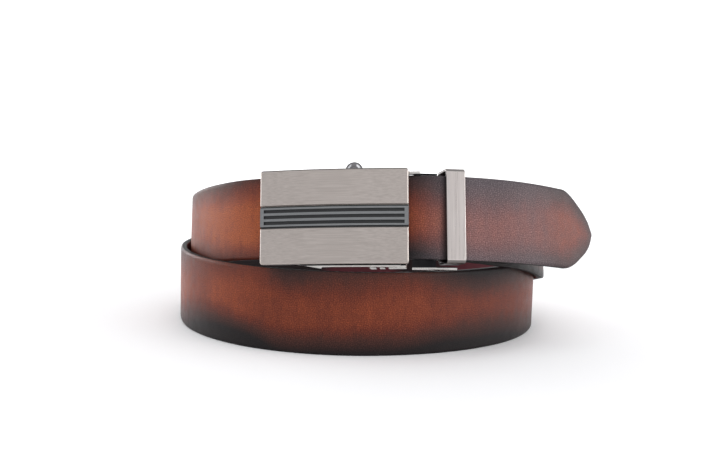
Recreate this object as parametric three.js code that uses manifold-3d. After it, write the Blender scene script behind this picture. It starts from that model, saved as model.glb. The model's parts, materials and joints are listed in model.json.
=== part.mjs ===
// A dress belt with a slide buckle, fastened and coiled into two turns that stand on the strap's edge.
// Millimetres, +Z up. The buckle faces -Y, and the free tail points to +X.
import * as THREE from "three";
import Module from "manifold-3d";

const wasm = await Module();
wasm.setup();

// Strap
const STRAP_WIDTH = 35;
const STRAP_THICKNESS = 3;
const STRAP_EDGE = 0.6;
const STRAP_STEP = 4.5;
const HALF_WIDTH = STRAP_WIDTH / 2;
const HALF_THICKNESS = STRAP_THICKNESS / 2;

// Tail tip: the last stretch narrows to a rounded point
const TIP_TURNS = 12.8;
const TIP_ROWS = [
  // back from the nose (share of the tip), half width (share of the strap's half width)
  [0, 0.07],
  [0.035, 0.17],
  [0.1, 0.31],
  [0.21, 0.47],
  [0.42, 0.69],
  [0.62, 0.88],
  [0.78, 0.985],
  [1, 1],
];
const TIP_FLAT = 1 / 3; // least share of the tip's half width that stays flat

// Straight run of the strap through the buckle, seen from the centre of the coil
const RUN = { x: -7.3, y: -76.7, middle: 56.2, yaw: 8.3, slope: 3.4, lean: 12.4 };
const RUN_STOPS = [-19, -9, 1, 11, 21];

// The strap's path, from the buckle end twice round the coil to the tail.
// turn: degrees from the front towards +X. radius: to the middle of the strap's thickness.
// middle: height of the middle of the strap's width. lean: degrees that the top tips inwards.
const LAYER = 4.9;
const LAYER_TURNS = [14, 19, 24.5];
const OUTER_ROWS = [
  // turn, radius, middle, lean
  [42, 88.0, 53.8, 12],
  [58, 88.2, 49.2, 9.5],
  [74, 88.7, 43.1, 6.5],
  [90, 89.3, 38.7, 4],
  [105, 89.7, 33.7, 2.5],
  [120, 89.7, 28.2, 1.5],
  [135, 89.1, 23.2, 0.7],
  [150, 88.5, 19.6, 0],
  [165, 88.1, HALF_WIDTH, 0],
  [185, 87.8, HALF_WIDTH, 0],
];
const LOWER_ROWS = [
  [225, 86.5, HALF_WIDTH, 0],
  [250, 85.8, HALF_WIDTH, 0],
  [270, 85.3, HALF_WIDTH, 0],
  [285, 85.6, HALF_WIDTH, 0],
  [300, 87.1, HALF_WIDTH, 0],
  [315, 88.4, HALF_WIDTH, 0],
  [330, 89.0, HALF_WIDTH, 0],
  [345, 88.5, HALF_WIDTH, 0],
  [360, 87.2, HALF_WIDTH, 0],
  [375, 85.7, HALF_WIDTH, 0],
  [390, 85.0, HALF_WIDTH, 0],
  [420, 85.2, HALF_WIDTH, 0],
  [450, 85.7, HALF_WIDTH, 0],
  [495, 84.9, HALF_WIDTH, 0],
  [535, 83.9, HALF_WIDTH, 0],
];
const INNER_ROWS = [
  [555, 83.3, HALF_WIDTH, 0],
  [570, 82.7, 18.3, 0],
  [582, 82.1, 20.3, 0.3],
  [596, 81.5, 24.6, 0.7],
  [610, 81.2, 30.4, 1],
  [630, 80.8, 38.2, 1.2],
  [650, 80.1, 44.2, 1.7],
  [670, 79.8, 49.9, 5],
  [682, 79.8, 52.7, 6.9],
  [693, 79.4, 54.5, 10.6],
];
const TAIL_ROWS = [
  [750, 91.6, 57.6, 12.8],
  [760, 97.6, 56.5, 13.2],
  [772, 105.0, 53.8, 14.4],
  [784, 112.0, 49.7, 14.5],
  [794, 116.4, 44.9, 10],
];
const FRONT = 720;
const BUCKLE_END_TURN = 17.9;
const NOSE_TURN = FRONT + 66.8;

// Gap that two pieces keep where they meet
const GAP = 0.35;

// A cutting body reaches this far past the faces that it cuts, and bodies that are joined this far
// into each other
const PAST = 1;

// Face plate
const PLATE = { width: 62.5, height: 39.7, thickness: 2, bevel: 0.5, corner: 1.1, bow: 2.3 };
const PLATE_SHIFT = -2.7;
const PLATE_BACK = 3.2;
const PLATE_STEPS = 16;
const RIM_SHARES = [0, 0.3, 1];

// Grooved band let into the plate
const BAND = { height: 9.2, slot: 1.2, sunk: 0.15, gap: 0.3 };
const GROOVE = { count: 3, pitch: 2.47, height: 1.4, depth: 0.7, margin: 1.6 };

// Housing behind the plate that the tail slides through
const HOUSING = { left: -18, taperEnd: -10, right: 25, wall: 1.2, rail: 1.9, steps: 8 };
const LIP = { height: 1.15, wedge: 1.8, wedgeEnd: -8, wedgeStep: 0.5, thickness: 1 };
const WINDOW = { left: 0, right: 8, height: 12 };
const FLANGE = { left: 12, right: 27, height: 1.7, front: -1 };
const NOTCH = { lefts: [14.5, 18.2], width: 1.6, depth: 0.9 };
const EAR = { right: 33, height: 1, front: -1.5, back: 1.6 };
const LUG = { width: 4.8, thickness: 2, inner: 9.4, depth: 4.4 };

// Release lever with its thumb knob
const HINGE = { x: -9, y: 5.4, shaft: 1.05, hole: 1.4, overhang: 0.7 };
const LEVER = { right: 9.5, halfHeight: 9, thickness: 1.4 };
const PAWL = { left: 2.2, right: 5.6, height: 9 };
const KNOB = { x: 4.4, z: 21.05, armWidth: 4.4, sides: 28 };
const KNOB_ROWS = [
  // radius, height
  [0, 0],
  [4.15, 0],
  [4.15, 1.4],
  [3.3, 1.95],
  [1.85, 2.2],
  [0, 2.2],
];

// Clamp that grips the buckle end of the strap, and its pin in the housing's knuckles
const CLAMP = { from: 15.4, to: 21.8, wall: 1.1, web: 1.1, top: 18.75, room: 2.8, steps: 4 };
const TONGUE = { from: 20.8, to: 27.6 };
const PIN = { x: 27.2, y: 5, radius: 1, hole: 1.35, reach: 13.5, arm: 3.2, armDepth: 1.8 };
const KNUCKLE = { radius: 2, inner: 6, outer: 10, root: 4, front: 2.5 };

// Loop that keeps the tail down: it is loose on the strap, a little turned and tilted
const KEEPER = { turn: 26.1, width: 8.2, wall: 1.2, corner: 2.1, cornerSteps: 5, twist: 6, tilt: -1.7 };
const KEEPER_ROOM = { front: 0.8, back: 1.9, below: 0.4, above: 1.75 };

const ROUND_SIDES = 20;
const WELD_GRID = 1e5;

const finishes = {
  leather: new THREE.MeshStandardMaterial({ color: 0x8a4a30, roughness: 0.5, metalness: 0 }),
  brushed: new THREE.MeshStandardMaterial({ color: 0xafa8a2, roughness: 0.35, metalness: 1 }),
  band: new THREE.MeshStandardMaterial({ color: 0x7d7f7f, roughness: 0.4, metalness: 1 }),
  nickel: new THREE.MeshStandardMaterial({ color: 0xc4c0bc, roughness: 0.25, metalness: 1 }),
  chrome: new THREE.MeshStandardMaterial({ color: 0xdcdcdc, roughness: 0.1, metalness: 1 }),
};

const radians = THREE.MathUtils.degToRad;
const degrees = THREE.MathUtils.radToDeg;
const vector = (x, y, z) => new THREE.Vector3(x, y, z);
const spread = (from, to, steps) =>
  Array.from({ length: steps + 1 }, (_, i) => from + ((to - from) * i) / steps);

// Smooth curve through a table's rows: cubic pieces whose slope at a row is that of a parabola
// through the row and its neighbours
function tableCurve(rows, column) {
  const places = rows.map((row) => row[0]);
  const values = rows.map((row) => row[column]);
  const last = places.length - 1;
  const rise = (i) => (values[i + 1] - values[i]) / (places[i + 1] - places[i]);
  const slopes = places.map((place, i) => {
    if (i === 0) return rise(0);
    if (i === last) return rise(last - 1);
    const before = place - places[i - 1];
    const after = places[i + 1] - place;
    return (before * rise(i) + after * rise(i - 1)) / (before + after);
  });
  return (place) => {
    const next = places.findIndex((value, i) => i > 0 && value >= place);
    const i = next < 0 ? last - 1 : next - 1;
    const length = places[i + 1] - places[i];
    const t = (place - places[i]) / length;
    const u = 1 - t;
    const ends = values[i] * u * u * (1 + 2 * t) + values[i + 1] * t * t * (3 - 2 * t);
    return ends + length * t * u * (slopes[i] * u - slopes[i + 1] * t);
  };
}

// Directions of a strap that runs along a heading: along it, up its width and out of the coil
function directions(heading, slope, lean) {
  const flat = vector(Math.cos(heading), Math.sin(heading), 0);
  const out = vector(Math.sin(heading), -Math.cos(heading), 0);
  const along = flat.clone().multiplyScalar(Math.cos(slope)).setZ(Math.sin(slope));
  const up = flat.clone().multiplyScalar(-Math.sin(slope)).setZ(Math.cos(slope));
  const width = up.clone().multiplyScalar(Math.cos(lean)).addScaledVector(out, -Math.sin(lean));
  const normal = out.clone().multiplyScalar(Math.cos(lean)).addScaledVector(up, Math.sin(lean));
  return { along, width, normal };
}

// Table row of a point on the strap's path
function rowAt(point, lean, firstTurn) {
  return [degrees(Math.atan2(point.x, -point.y)) + firstTurn, Math.hypot(point.x, point.y), point.z, lean];
}

// The strap's path through a table's rows: for a turn, the middle of the strap and its directions
function strapPath(rows) {
  const radius = tableCurve(rows, 1);
  const middle = tableCurve(rows, 2);
  const lean = tableCurve(rows, 3);
  const nudge = 0.2;
  const centreAt = (turn) => {
    const angle = radians(turn);
    const height = Math.max(middle(turn), HALF_WIDTH);
    return vector(radius(turn) * Math.sin(angle), -radius(turn) * Math.cos(angle), height);
  };
  return (turn) => {
    const step = centreAt(turn + nudge).sub(centreAt(turn - nudge));
    const heading = Math.atan2(step.y, step.x);
    const slope = Math.atan2(step.z, Math.hypot(step.x, step.y));
    const tilt = Math.max(lean(turn), 0);
    return { centre: centreAt(turn), lean: tilt, ...directions(heading, slope, radians(tilt)) };
  };
}

const run = directions(radians(-RUN.yaw), radians(RUN.slope), radians(RUN.lean));
const runCentre = vector(RUN.x, RUN.y, RUN.middle);
const runPoint = (stop) => runCentre.clone().addScaledVector(run.along, stop);
const runRows = RUN_STOPS.map((stop) => rowAt(runPoint(stop), RUN.lean, FRONT));
const tailRows = [...INNER_ROWS, ...runRows, ...TAIL_ROWS];
const tailPath = strapPath(tailRows);

// Point that lies a depth into the coil and a height up the width from the strap's path
function besidePath({ centre, normal, width }, depth, height) {
  return centre.clone().addScaledVector(normal, -depth).addScaledVector(width, height);
}

// The buckle end of the strap lies one layer inside the tail
const layerRows = LAYER_TURNS.map((turn) => {
  const place = tailPath(FRONT + turn);
  return rowAt(besidePath(place, LAYER, 0), place.lean, 0);
});
const coilPath = strapPath([...layerRows, ...OUTER_ROWS, ...LOWER_ROWS, ...tailRows]);

function closedGeometry(positions, indices) {
  const geometry = new THREE.BufferGeometry();
  geometry.setAttribute("position", new THREE.Float32BufferAttribute(positions, 3));
  geometry.setIndex(indices);
  return geometry;
}

// Body through equal rings of points, with flat ends. The outline in its plane runs anticlockwise,
// seen from the side that the rings go to.
function loft(rings, outline) {
  const count = outline.length;
  const positions = rings.flat().flatMap((point) => point.toArray());
  const indices = [];
  for (let r = 0; r < rings.length - 1; r++) {
    for (let i = 0; i < count; i++) {
      const a = r * count + i;
      const b = r * count + ((i + 1) % count);
      indices.push(a, b, b + count, a, b + count, a + count);
    }
  }
  const last = (rings.length - 1) * count;
  for (const [a, b, c] of THREE.ShapeUtils.triangulateShape(outline, [])) {
    indices.push(a, c, b, last + a, last + b, last + c);
  }
  return closedGeometry(positions, indices);
}

// Body swept along a path. The outline's x is the depth into the coil, its y the height up the width.
function sweep(path, turns, outline, shape = (point) => point) {
  const rings = turns.map((turn) => {
    const place = path(turn);
    return outline.map((point) => {
      const { x, y } = shape(point, turn);
      return besidePath(place, x, y);
    });
  });
  return loft(rings, outline);
}

// Body along x in the buckle's frame, from an outline of depths and heights at each stop
function barAlongX(stops, outlineAt) {
  const rings = stops.map((x) => outlineAt(x).map(([y, z]) => vector(x, y, z)));
  const outline = outlineAt(stops[1]).map(([y, z]) => new THREE.Vector2(y, z));
  return loft(rings, outline);
}

function rectangle(x0, x1, y0, y1) {
  return [
    [x0, y0],
    [x1, y0],
    [x1, y1],
    [x0, y1],
  ].map(([x, y]) => new THREE.Vector2(x, y));
}

// Rectangle with cut corners
function cutRectangle(x0, x1, y0, y1, cut) {
  const corners = [
    [x0 + cut, y0],
    [x1 - cut, y0],
    [x1, y0 + cut],
    [x1, y1 - cut],
    [x1 - cut, y1],
    [x0 + cut, y1],
    [x0, y1 - cut],
    [x0, y0 + cut],
  ];
  return corners.map(([x, y]) => new THREE.Vector2(x, y));
}

// Rectangle with round corners
function roundRectangle(x0, x1, y0, y1, radius, steps) {
  const centres = [
    [x1 - radius, y0 + radius, -90],
    [x1 - radius, y1 - radius, 0],
    [x0 + radius, y1 - radius, 90],
    [x0 + radius, y0 + radius, 180],
  ];
  return centres.flatMap(([x, y, start]) =>
    spread(start, start + 90, steps).map((angle) => {
      const offset = new THREE.Vector2(Math.cos(radians(angle)), Math.sin(radians(angle)));
      return offset.multiplyScalar(radius).add(new THREE.Vector2(x, y));
    }),
  );
}

// Solid for booleans: points at one place become one point, and empty triangles go
function toSolid(geometry) {
  const source = geometry.attributes.position;
  const index = geometry.index.array;
  const places = new Map();
  const points = [];
  const merged = [];
  for (let i = 0; i < source.count; i++) {
    const place = [source.getX(i), source.getY(i), source.getZ(i)];
    const key = place.map((value) => Math.round(value * WELD_GRID)).join();
    if (!places.has(key)) {
      places.set(key, places.size);
      points.push(...place);
    }
    merged.push(places.get(key));
  }
  const triangles = [];
  for (let i = 0; i < index.length; i += 3) {
    const corners = [merged[index[i]], merged[index[i + 1]], merged[index[i + 2]]];
    if (new Set(corners).size === 3) triangles.push(...corners);
  }
  const mesh = { numProp: 3, vertProperties: new Float32Array(points), triVerts: new Uint32Array(triangles) };
  return new wasm.Manifold(new wasm.Mesh(mesh));
}

function toGeometry(solid) {
  const mesh = solid.getMesh();
  return closedGeometry(Array.from(mesh.vertProperties), Array.from(mesh.triVerts));
}

function box(x0, x1, y0, y1, z0, z1) {
  const geometry = new THREE.BoxGeometry(x1 - x0, y1 - y0, z1 - z0);
  geometry.translate((x0 + x1) / 2, (y0 + y1) / 2, (z0 + z1) / 2);
  return toSolid(geometry);
}

function uprightCylinder(x, y, z0, z1, radius) {
  const geometry = new THREE.CylinderGeometry(radius, radius, z1 - z0, ROUND_SIDES);
  geometry.rotateX(Math.PI / 2);
  geometry.translate(x, y, (z0 + z1) / 2);
  return toSolid(geometry);
}

function makeMesh(name, geometry, material) {
  geometry.computeVertexNormals();
  const mesh = new THREE.Mesh(geometry, material);
  mesh.name = name;
  return mesh;
}

// The strap is one piece from the buckle end, twice round, through the buckle and out to the tip
function makeStrap() {
  const outline = cutRectangle(-HALF_THICKNESS, HALF_THICKNESS, -HALF_WIDTH, HALF_WIDTH, STRAP_EDGE);
  const tipStart = NOSE_TURN - TIP_TURNS;
  const steps = Math.round((tipStart - BUCKLE_END_TURN) / STRAP_STEP);
  const tipTurns = TIP_ROWS.map(([share]) => NOSE_TURN - share * TIP_TURNS);
  const turns = [...spread(BUCKLE_END_TURN, tipStart, steps).slice(0, -1), ...tipTurns.reverse()];
  const halfWidth = tableCurve(TIP_ROWS, 1);
  const narrow = (point, turn) => {
    if (turn <= tipStart) return point;
    const limit = HALF_WIDTH * halfWidth((NOSE_TURN - turn) / TIP_TURNS);
    const inset = HALF_WIDTH - Math.abs(point.y);
    return new THREE.Vector2(point.x, Math.sign(point.y) * Math.max(limit - inset, limit * TIP_FLAT));
  };
  return makeMesh("strap", sweep(coilPath, turns, outline, narrow), finishes.leather);
}

// The plate's middle stands proud of its ends by the bow. Depths grow into the coil.
const bowAt = (x) => PLATE.bow * ((2 * (x - PLATE_SHIFT)) / PLATE.width) ** 2;
const plateBackAt = (x) => -PLATE_BACK - PLATE.bow + bowAt(x);
const plateLeft = PLATE_SHIFT - PLATE.width / 2;
const plateRight = PLATE_SHIFT + PLATE.width / 2;

function plateStops(left, right) {
  const rim = RIM_SHARES.map((share) => share * PLATE.corner);
  const middle = spread(left + PLATE.corner, right - PLATE.corner, PLATE_STEPS).slice(1, -1);
  return [...rim.map((inset) => left + inset), ...middle, ...rim.map((inset) => right - inset).reverse()];
}

function makeFacePlate() {
  const slot = BAND.height / 2 + BAND.gap;
  const outlineAt = (x) => {
    const inset = Math.min(x - plateLeft, plateRight - x);
    const cornerShare = Math.max(0, 1 - inset / PLATE.corner);
    const top = PLATE.height / 2 - PLATE.corner * (1 - Math.sqrt(1 - cornerShare ** 2));
    const face = plateBackAt(x) - PLATE.thickness + Math.max(0, PLATE.bevel - inset);
    const back = plateBackAt(x);
    const floor = plateBackAt(x) - PLATE.thickness + BAND.slot + BAND.gap;
    const shoulder = face + PLATE.bevel;
    const lip = top - PLATE.bevel;
    return [
      [face, lip],
      [face, slot],
      [floor, slot],
      [floor, -slot],
      [face, -slot],
      [face, -lip],
      [shoulder, -top],
      [back, -top],
      [back, top],
      [shoulder, top],
    ];
  };
  return makeMesh("face_plate", barAlongX(plateStops(plateLeft, plateRight), outlineAt), finishes.brushed);
}

function makeInlayBand() {
  const faceAt = (x) => plateBackAt(x) - PLATE.thickness + BAND.sunk;
  const bar = (left, right, low, high, proud, depth) => {
    const outlineAt = (x) => [
      [faceAt(x) - proud, high],
      [faceAt(x) - proud, low],
      [faceAt(x) + depth, low],
      [faceAt(x) + depth, high],
    ];
    return toSolid(barAlongX(spread(left, right, PLATE_STEPS), outlineAt));
  };
  const top = BAND.height / 2;
  let solid = bar(plateLeft, plateRight, -top, top, 0, BAND.slot - BAND.sunk);
  for (let i = 0; i < GROOVE.count; i++) {
    const low = (i - (GROOVE.count - 1) / 2) * GROOVE.pitch - GROOVE.height / 2;
    const ends = [plateLeft + GROOVE.margin, plateRight - GROOVE.margin];
    solid = solid.subtract(bar(...ends, low, low + GROOVE.height, PAST, GROOVE.depth));
  }
  return makeMesh("inlay_band", toGeometry(solid), finishes.band);
}

// The two ranges of height that lie between two distances from the middle
const bothSides = (inner, outer) => [
  [-outer, -inner],
  [inner, outer],
];

const wallFront = HALF_THICKNESS + GAP;
const wallBack = wallFront + HOUSING.wall;

// One of the housing's rails runs from the back wall to the plate, and its left end is cut to a point
function housingRail(low, high) {
  const { left, taperEnd, right } = HOUSING;
  const stops = [left, ...spread(taperEnd, right, HOUSING.steps)];
  const outlineAt = (x) => {
    const front = plateBackAt(x) + GAP;
    const share = Math.min(1, (x - left) / (taperEnd - left));
    const back = THREE.MathUtils.lerp(front + HOUSING.wall, wallBack, share);
    return [
      [front, high],
      [front, low],
      [back, low],
      [back, high],
    ];
  };
  return toSolid(barAlongX(stops, outlineAt));
}

// A thin lip hangs from the front of the lower rail. Its left end is a wedge that grows downwards.
function housingLip(high) {
  const { left, right } = HOUSING;
  const wedgeStop = LIP.wedgeEnd + LIP.wedgeStep;
  const stops = [left, LIP.wedgeEnd, ...spread(wedgeStop, right, HOUSING.steps)];
  const outlineAt = (x) => {
    const front = plateBackAt(x) + GAP;
    const share = (x - left) / (LIP.wedgeEnd - left);
    const height = share > 1 ? LIP.height : LIP.wedge * share;
    return [
      [front, high + GAP],
      [front, high - height],
      [front + LIP.thickness, high - height],
      [front + LIP.thickness, high + GAP],
    ];
  };
  return toSolid(barAlongX(stops, outlineAt));
}

// The housing has a back wall with a window, rails above and below the strap, knuckles for the
// clamp's pin and lugs for the lever's shaft
function makeBuckleFrame() {
  const inner = HALF_WIDTH + GAP;
  const outer = inner + HOUSING.rail;
  const { taperEnd, right } = HOUSING;
  let solid = box(taperEnd - PAST, right, wallFront, wallBack, -outer, outer);
  solid = solid.add(housingRail(inner, outer)).add(housingRail(-outer, -inner)).add(housingLip(-outer));
  solid = solid.add(box(right - PAST, EAR.right, EAR.front, EAR.back, inner, inner + EAR.height));
  const edge = -outer - FLANGE.height;
  solid = solid.add(box(FLANGE.left, FLANGE.right, FLANGE.front, wallBack, edge, -inner));
  for (const left of NOTCH.lefts) {
    const across = [left, left + NOTCH.width, FLANGE.front - PAST, wallBack + PAST];
    solid = solid.subtract(box(...across, edge - PAST, edge + NOTCH.depth));
  }
  for (const [low, high] of bothSides(KNUCKLE.inner, KNUCKLE.outer)) {
    solid = solid.add(uprightCylinder(PIN.x, PIN.y, low, high, KNUCKLE.radius));
    solid = solid.add(box(right - KNUCKLE.root, PIN.x, KNUCKLE.front, PIN.y, low, high));
    solid = solid.subtract(uprightCylinder(PIN.x, PIN.y, low - PAST, high + PAST, PIN.hole));
  }
  for (const [low, high] of bothSides(LUG.inner, LUG.inner + LUG.thickness)) {
    const lugLeft = HINGE.x - LUG.width / 2;
    solid = solid.add(box(lugLeft, lugLeft + LUG.width, wallFront, wallBack + LUG.depth, low, high));
    solid = solid.subtract(uprightCylinder(HINGE.x, HINGE.y, low - PAST, high + PAST, HINGE.hole));
  }
  const depths = [wallFront - PAST, wallBack + PAST];
  const window = box(WINDOW.left, WINDOW.right, ...depths, -WINDOW.height / 2, WINDOW.height / 2);
  return makeMesh("buckle_frame", toGeometry(solid.subtract(window)), finishes.nickel);
}

// Lever: a shaft in the lugs, a plate behind the housing, a pawl through its window, and a knob
function makeReleaseLever() {
  const shaftReach = LUG.inner + LUG.thickness + HINGE.overhang;
  const front = HINGE.y - LEVER.thickness / 2;
  const back = front + LEVER.thickness;
  const armLeft = KNOB.x - KNOB.armWidth / 2;
  const profile = KNOB_ROWS.map(([radius, height]) => new THREE.Vector2(radius, height));
  const knob = new THREE.LatheGeometry(profile, KNOB.sides);
  knob.rotateX(Math.PI);
  knob.translate(KNOB.x, back, KNOB.z);
  const solid = uprightCylinder(HINGE.x, HINGE.y, -shaftReach, shaftReach, HINGE.shaft)
    .add(box(HINGE.x, LEVER.right, front, back, -LEVER.halfHeight, LEVER.halfHeight))
    .add(box(PAWL.left, PAWL.right, wallFront, back, -PAWL.height / 2, PAWL.height / 2))
    .add(box(armLeft, armLeft + KNOB.armWidth, front, back, 0, KNOB.z))
    .add(toSolid(knob));
  return makeMesh("release_lever", toGeometry(solid), finishes.chrome);
}

// The buckle's own frame: x along the strap, y into the coil, z up the strap's width
const buckleFrame = new THREE.Matrix4()
  .makeBasis(run.along, run.normal.clone().negate(), run.width)
  .setPosition(runCentre);

// The clamp folds round the strap's buckle end, with a web that carries the pin
function makeStrapClamp() {
  const depths = [LAYER - HALF_THICKNESS - GAP, LAYER + HALF_THICKNESS + GAP];
  const floor = -HALF_WIDTH - CLAMP.room;
  const outside = rectangle(depths[0] - CLAMP.wall, depths[1] + CLAMP.wall, floor - CLAMP.wall, CLAMP.top);
  const inside = rectangle(...depths, floor, HALF_WIDTH + GAP);
  const outerTurns = spread(FRONT + CLAMP.from, FRONT + CLAMP.to, CLAMP.steps);
  const innerTurns = spread(FRONT + CLAMP.from + CLAMP.web, FRONT + CLAMP.to + PAST, CLAMP.steps);
  const tongue = rectangle(...depths, floor - CLAMP.wall, floor);
  const tongueTurns = spread(FRONT + TONGUE.from, FRONT + TONGUE.to, CLAMP.steps);
  const fold = toSolid(sweep(tailPath, outerTurns, outside))
    .subtract(toSolid(sweep(tailPath, innerTurns, inside)))
    .add(toSolid(sweep(tailPath, tongueTurns, tongue)));
  let pin = uprightCylinder(PIN.x, PIN.y, -PIN.reach, PIN.reach, PIN.radius);
  const middle = [GAP - KNUCKLE.inner, KNUCKLE.inner - GAP];
  for (const [low, high] of [middle, ...bothSides(KNUCKLE.outer + GAP, PIN.reach)]) {
    pin = pin.add(uprightCylinder(PIN.x, PIN.y, low, high, KNUCKLE.radius));
    pin = pin.add(box(PIN.x, PIN.x + PIN.arm, PIN.y - PIN.armDepth / 2, PIN.y + PIN.armDepth / 2, low, high));
  }
  const placedPin = toSolid(toGeometry(pin).applyMatrix4(buckleFrame));
  return makeMesh("strap_clamp", toGeometry(fold.add(placedPin)), finishes.nickel);
}

// The keeper is a flat metal loop round the tail and the strap under it
function makeKeeper() {
  const depths = [-HALF_THICKNESS - KEEPER_ROOM.front, LAYER + HALF_THICKNESS + KEEPER_ROOM.back];
  const heights = [-HALF_WIDTH - KEEPER_ROOM.below, HALF_WIDTH + KEEPER_ROOM.above];
  const grow = ([low, high]) => [low - KEEPER.wall, high + KEEPER.wall];
  const outside = roundRectangle(...grow(depths), ...grow(heights), KEEPER.corner, KEEPER.cornerSteps);
  const inside = roundRectangle(...depths, ...heights, KEEPER.corner - KEEPER.wall, KEEPER.cornerSteps);
  const block = (outline, half) => toSolid(barAlongX([-half, half], () => outline.map(({ x, y }) => [x, y])));
  const half = KEEPER.width / 2;
  const loop = toGeometry(block(outside, half).subtract(block(inside, half + PAST)));
  loop.rotateZ(radians(KEEPER.twist)).rotateY(radians(KEEPER.tilt));
  const { centre, along, normal, width } = tailPath(FRONT + KEEPER.turn);
  loop.applyMatrix4(new THREE.Matrix4().makeBasis(along, normal.clone().negate(), width).setPosition(centre));
  return makeMesh("keeper", loop, finishes.nickel);
}

const buckle = new THREE.Group();
buckle.name = "buckle";
buckle.applyMatrix4(buckleFrame);
buckle.add(makeFacePlate(), makeInlayBand(), makeBuckleFrame(), makeReleaseLever());

const belt = new THREE.Group();
belt.name = "belt";
belt.add(makeStrap(), makeStrapClamp(), makeKeeper(), buckle);

// The origin is the middle of the bounding box's floor
belt.updateMatrixWorld(true);
const bounds = new THREE.Box3().setFromObject(belt, true);
const middle = bounds.getCenter(vector(0, 0, 0));
belt.position.set(-middle.x, -middle.y, -bounds.min.z);

export default belt;
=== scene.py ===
"""Looks of a leather belt with a slide buckle, coiled in two turns that stand on the strap's edge.

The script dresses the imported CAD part. Sizes in the classes are millimetres, and meshes are metres.
"""

from __future__ import annotations

import json
import logging
import math
from collections.abc import Iterator, Sequence
from contextlib import contextmanager
from dataclasses import dataclass
from enum import Enum

import bmesh
import bpy
import numpy as np
from mathutils import Matrix, Vector

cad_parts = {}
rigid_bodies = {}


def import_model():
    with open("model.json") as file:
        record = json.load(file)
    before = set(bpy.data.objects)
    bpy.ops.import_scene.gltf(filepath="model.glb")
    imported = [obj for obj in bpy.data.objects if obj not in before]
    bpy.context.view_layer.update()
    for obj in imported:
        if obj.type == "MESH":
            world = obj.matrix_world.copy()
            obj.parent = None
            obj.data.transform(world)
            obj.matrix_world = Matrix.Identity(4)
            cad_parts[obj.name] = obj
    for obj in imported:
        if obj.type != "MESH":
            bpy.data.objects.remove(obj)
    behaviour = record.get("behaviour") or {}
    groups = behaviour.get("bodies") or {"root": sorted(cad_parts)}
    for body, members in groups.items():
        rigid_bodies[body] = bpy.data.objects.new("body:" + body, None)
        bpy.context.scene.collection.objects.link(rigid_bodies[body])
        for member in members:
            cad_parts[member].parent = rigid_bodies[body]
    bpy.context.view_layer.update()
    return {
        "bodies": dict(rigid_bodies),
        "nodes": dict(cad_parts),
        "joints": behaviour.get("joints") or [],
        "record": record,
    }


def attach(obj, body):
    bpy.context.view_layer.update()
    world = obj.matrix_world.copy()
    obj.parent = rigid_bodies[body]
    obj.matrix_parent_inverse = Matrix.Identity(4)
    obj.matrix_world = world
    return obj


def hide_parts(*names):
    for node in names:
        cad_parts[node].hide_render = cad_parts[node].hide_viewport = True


log = logging.getLogger("belt")

MM = 0.001
BELT_BODY = "belt_body"
LEVER_BODY = "lever"
STRAP_UV = "strap_map"
BURNISH_UV = "burnish_map"
PLACE = "place"
DYE_WITH_SHADE = "dye_strength"
PAINTED_SHEEN = "wax_haze"
GRAIN_SHADE = "grain_shade"
LINING_SHADE = "lining_shade"
# Nearly all of a noise pattern's values lie between these
NOISE_SPAN = (0.3, 0.7)
# In metres: points that are one, points of a CAD copy that are one, and places that are the same
MERGE = 1e-7
CAD_MERGE = 2e-6
NEAR = 1e-6
# Faces of a CAD copy that turn less than this are one flat face
CAD_FLAT = math.radians(0.6)
# Edges that turn more than this are edges and not part of a curve
CREASE = math.radians(30)
# A face looks to the front when its normal's y is below this
FACES_FRONT = -0.5
# Rounding of the small castings' edges in millimetres
SMALL_ROUNDING = 0.15

Settings = dict[str, object]
Point = tuple[float, float, float]
Colour = tuple[float, float, float, float]


class Slot(Enum):
    """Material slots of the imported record."""

    STRAP = "strap_leather"
    PLATE = "plate_metal"
    BAND = "band_metal"
    HOUSING = "housing_metal"
    LEVER = "lever_metal"
    KEEPER = "keeper_metal"


# The strap's path from the buckle end twice round the coil to the tail, as in the part's source
STRAP_WIDTH = 35.0
STRAP_THICKNESS = 3.0
HALF_WIDTH = STRAP_WIDTH / 2
HALF_THICKNESS = STRAP_THICKNESS / 2
PART_SHIFT = (-9.3137, 0.35613, 0.0)
FRONT = 720.0
BUCKLE_END_TURN = 17.9
NOSE_TURN = FRONT + 66.8
TIP_TURNS = 12.8
LAYER = 4.9
LAYER_TURNS = (14.0, 19.0, 24.5)
RUN_STOPS = (-19.0, -9.0, 1.0, 11.0, 21.0)

# Columns: turn in degrees, radius, middle of the width, lean in degrees
OUTER_ROWS = (
    (42, 88.0, 53.8, 12),
    (58, 88.2, 49.2, 9.5),
    (74, 88.7, 43.1, 6.5),
    (90, 89.3, 38.7, 4),
    (105, 89.7, 33.7, 2.5),
    (120, 89.7, 28.2, 1.5),
    (135, 89.1, 23.2, 0.7),
    (150, 88.5, 19.6, 0),
    (165, 88.1, 17.5, 0),
    (185, 87.8, 17.5, 0),
)
LOWER_ROWS = (
    (225, 86.5, 17.5, 0),
    (250, 85.8, 17.5, 0),
    (270, 85.3, 17.5, 0),
    (285, 85.6, 17.5, 0),
    (300, 87.1, 17.5, 0),
    (315, 88.4, 17.5, 0),
    (330, 89.0, 17.5, 0),
    (345, 88.5, 17.5, 0),
    (360, 87.2, 17.5, 0),
    (375, 85.7, 17.5, 0),
    (390, 85.0, 17.5, 0),
    (420, 85.2, 17.5, 0),
    (450, 85.7, 17.5, 0),
    (495, 84.9, 17.5, 0),
    (535, 83.9, 17.5, 0),
)
INNER_ROWS = (
    (555, 83.3, 17.5, 0),
    (570, 82.7, 18.3, 0),
    (582, 82.1, 20.3, 0.3),
    (596, 81.5, 24.6, 0.7),
    (610, 81.2, 30.4, 1),
    (630, 80.8, 38.2, 1.2),
    (650, 80.1, 44.2, 1.7),
    (670, 79.8, 49.9, 5),
    (682, 79.8, 52.7, 6.9),
    (693, 79.4, 54.5, 10.6),
)
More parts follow.
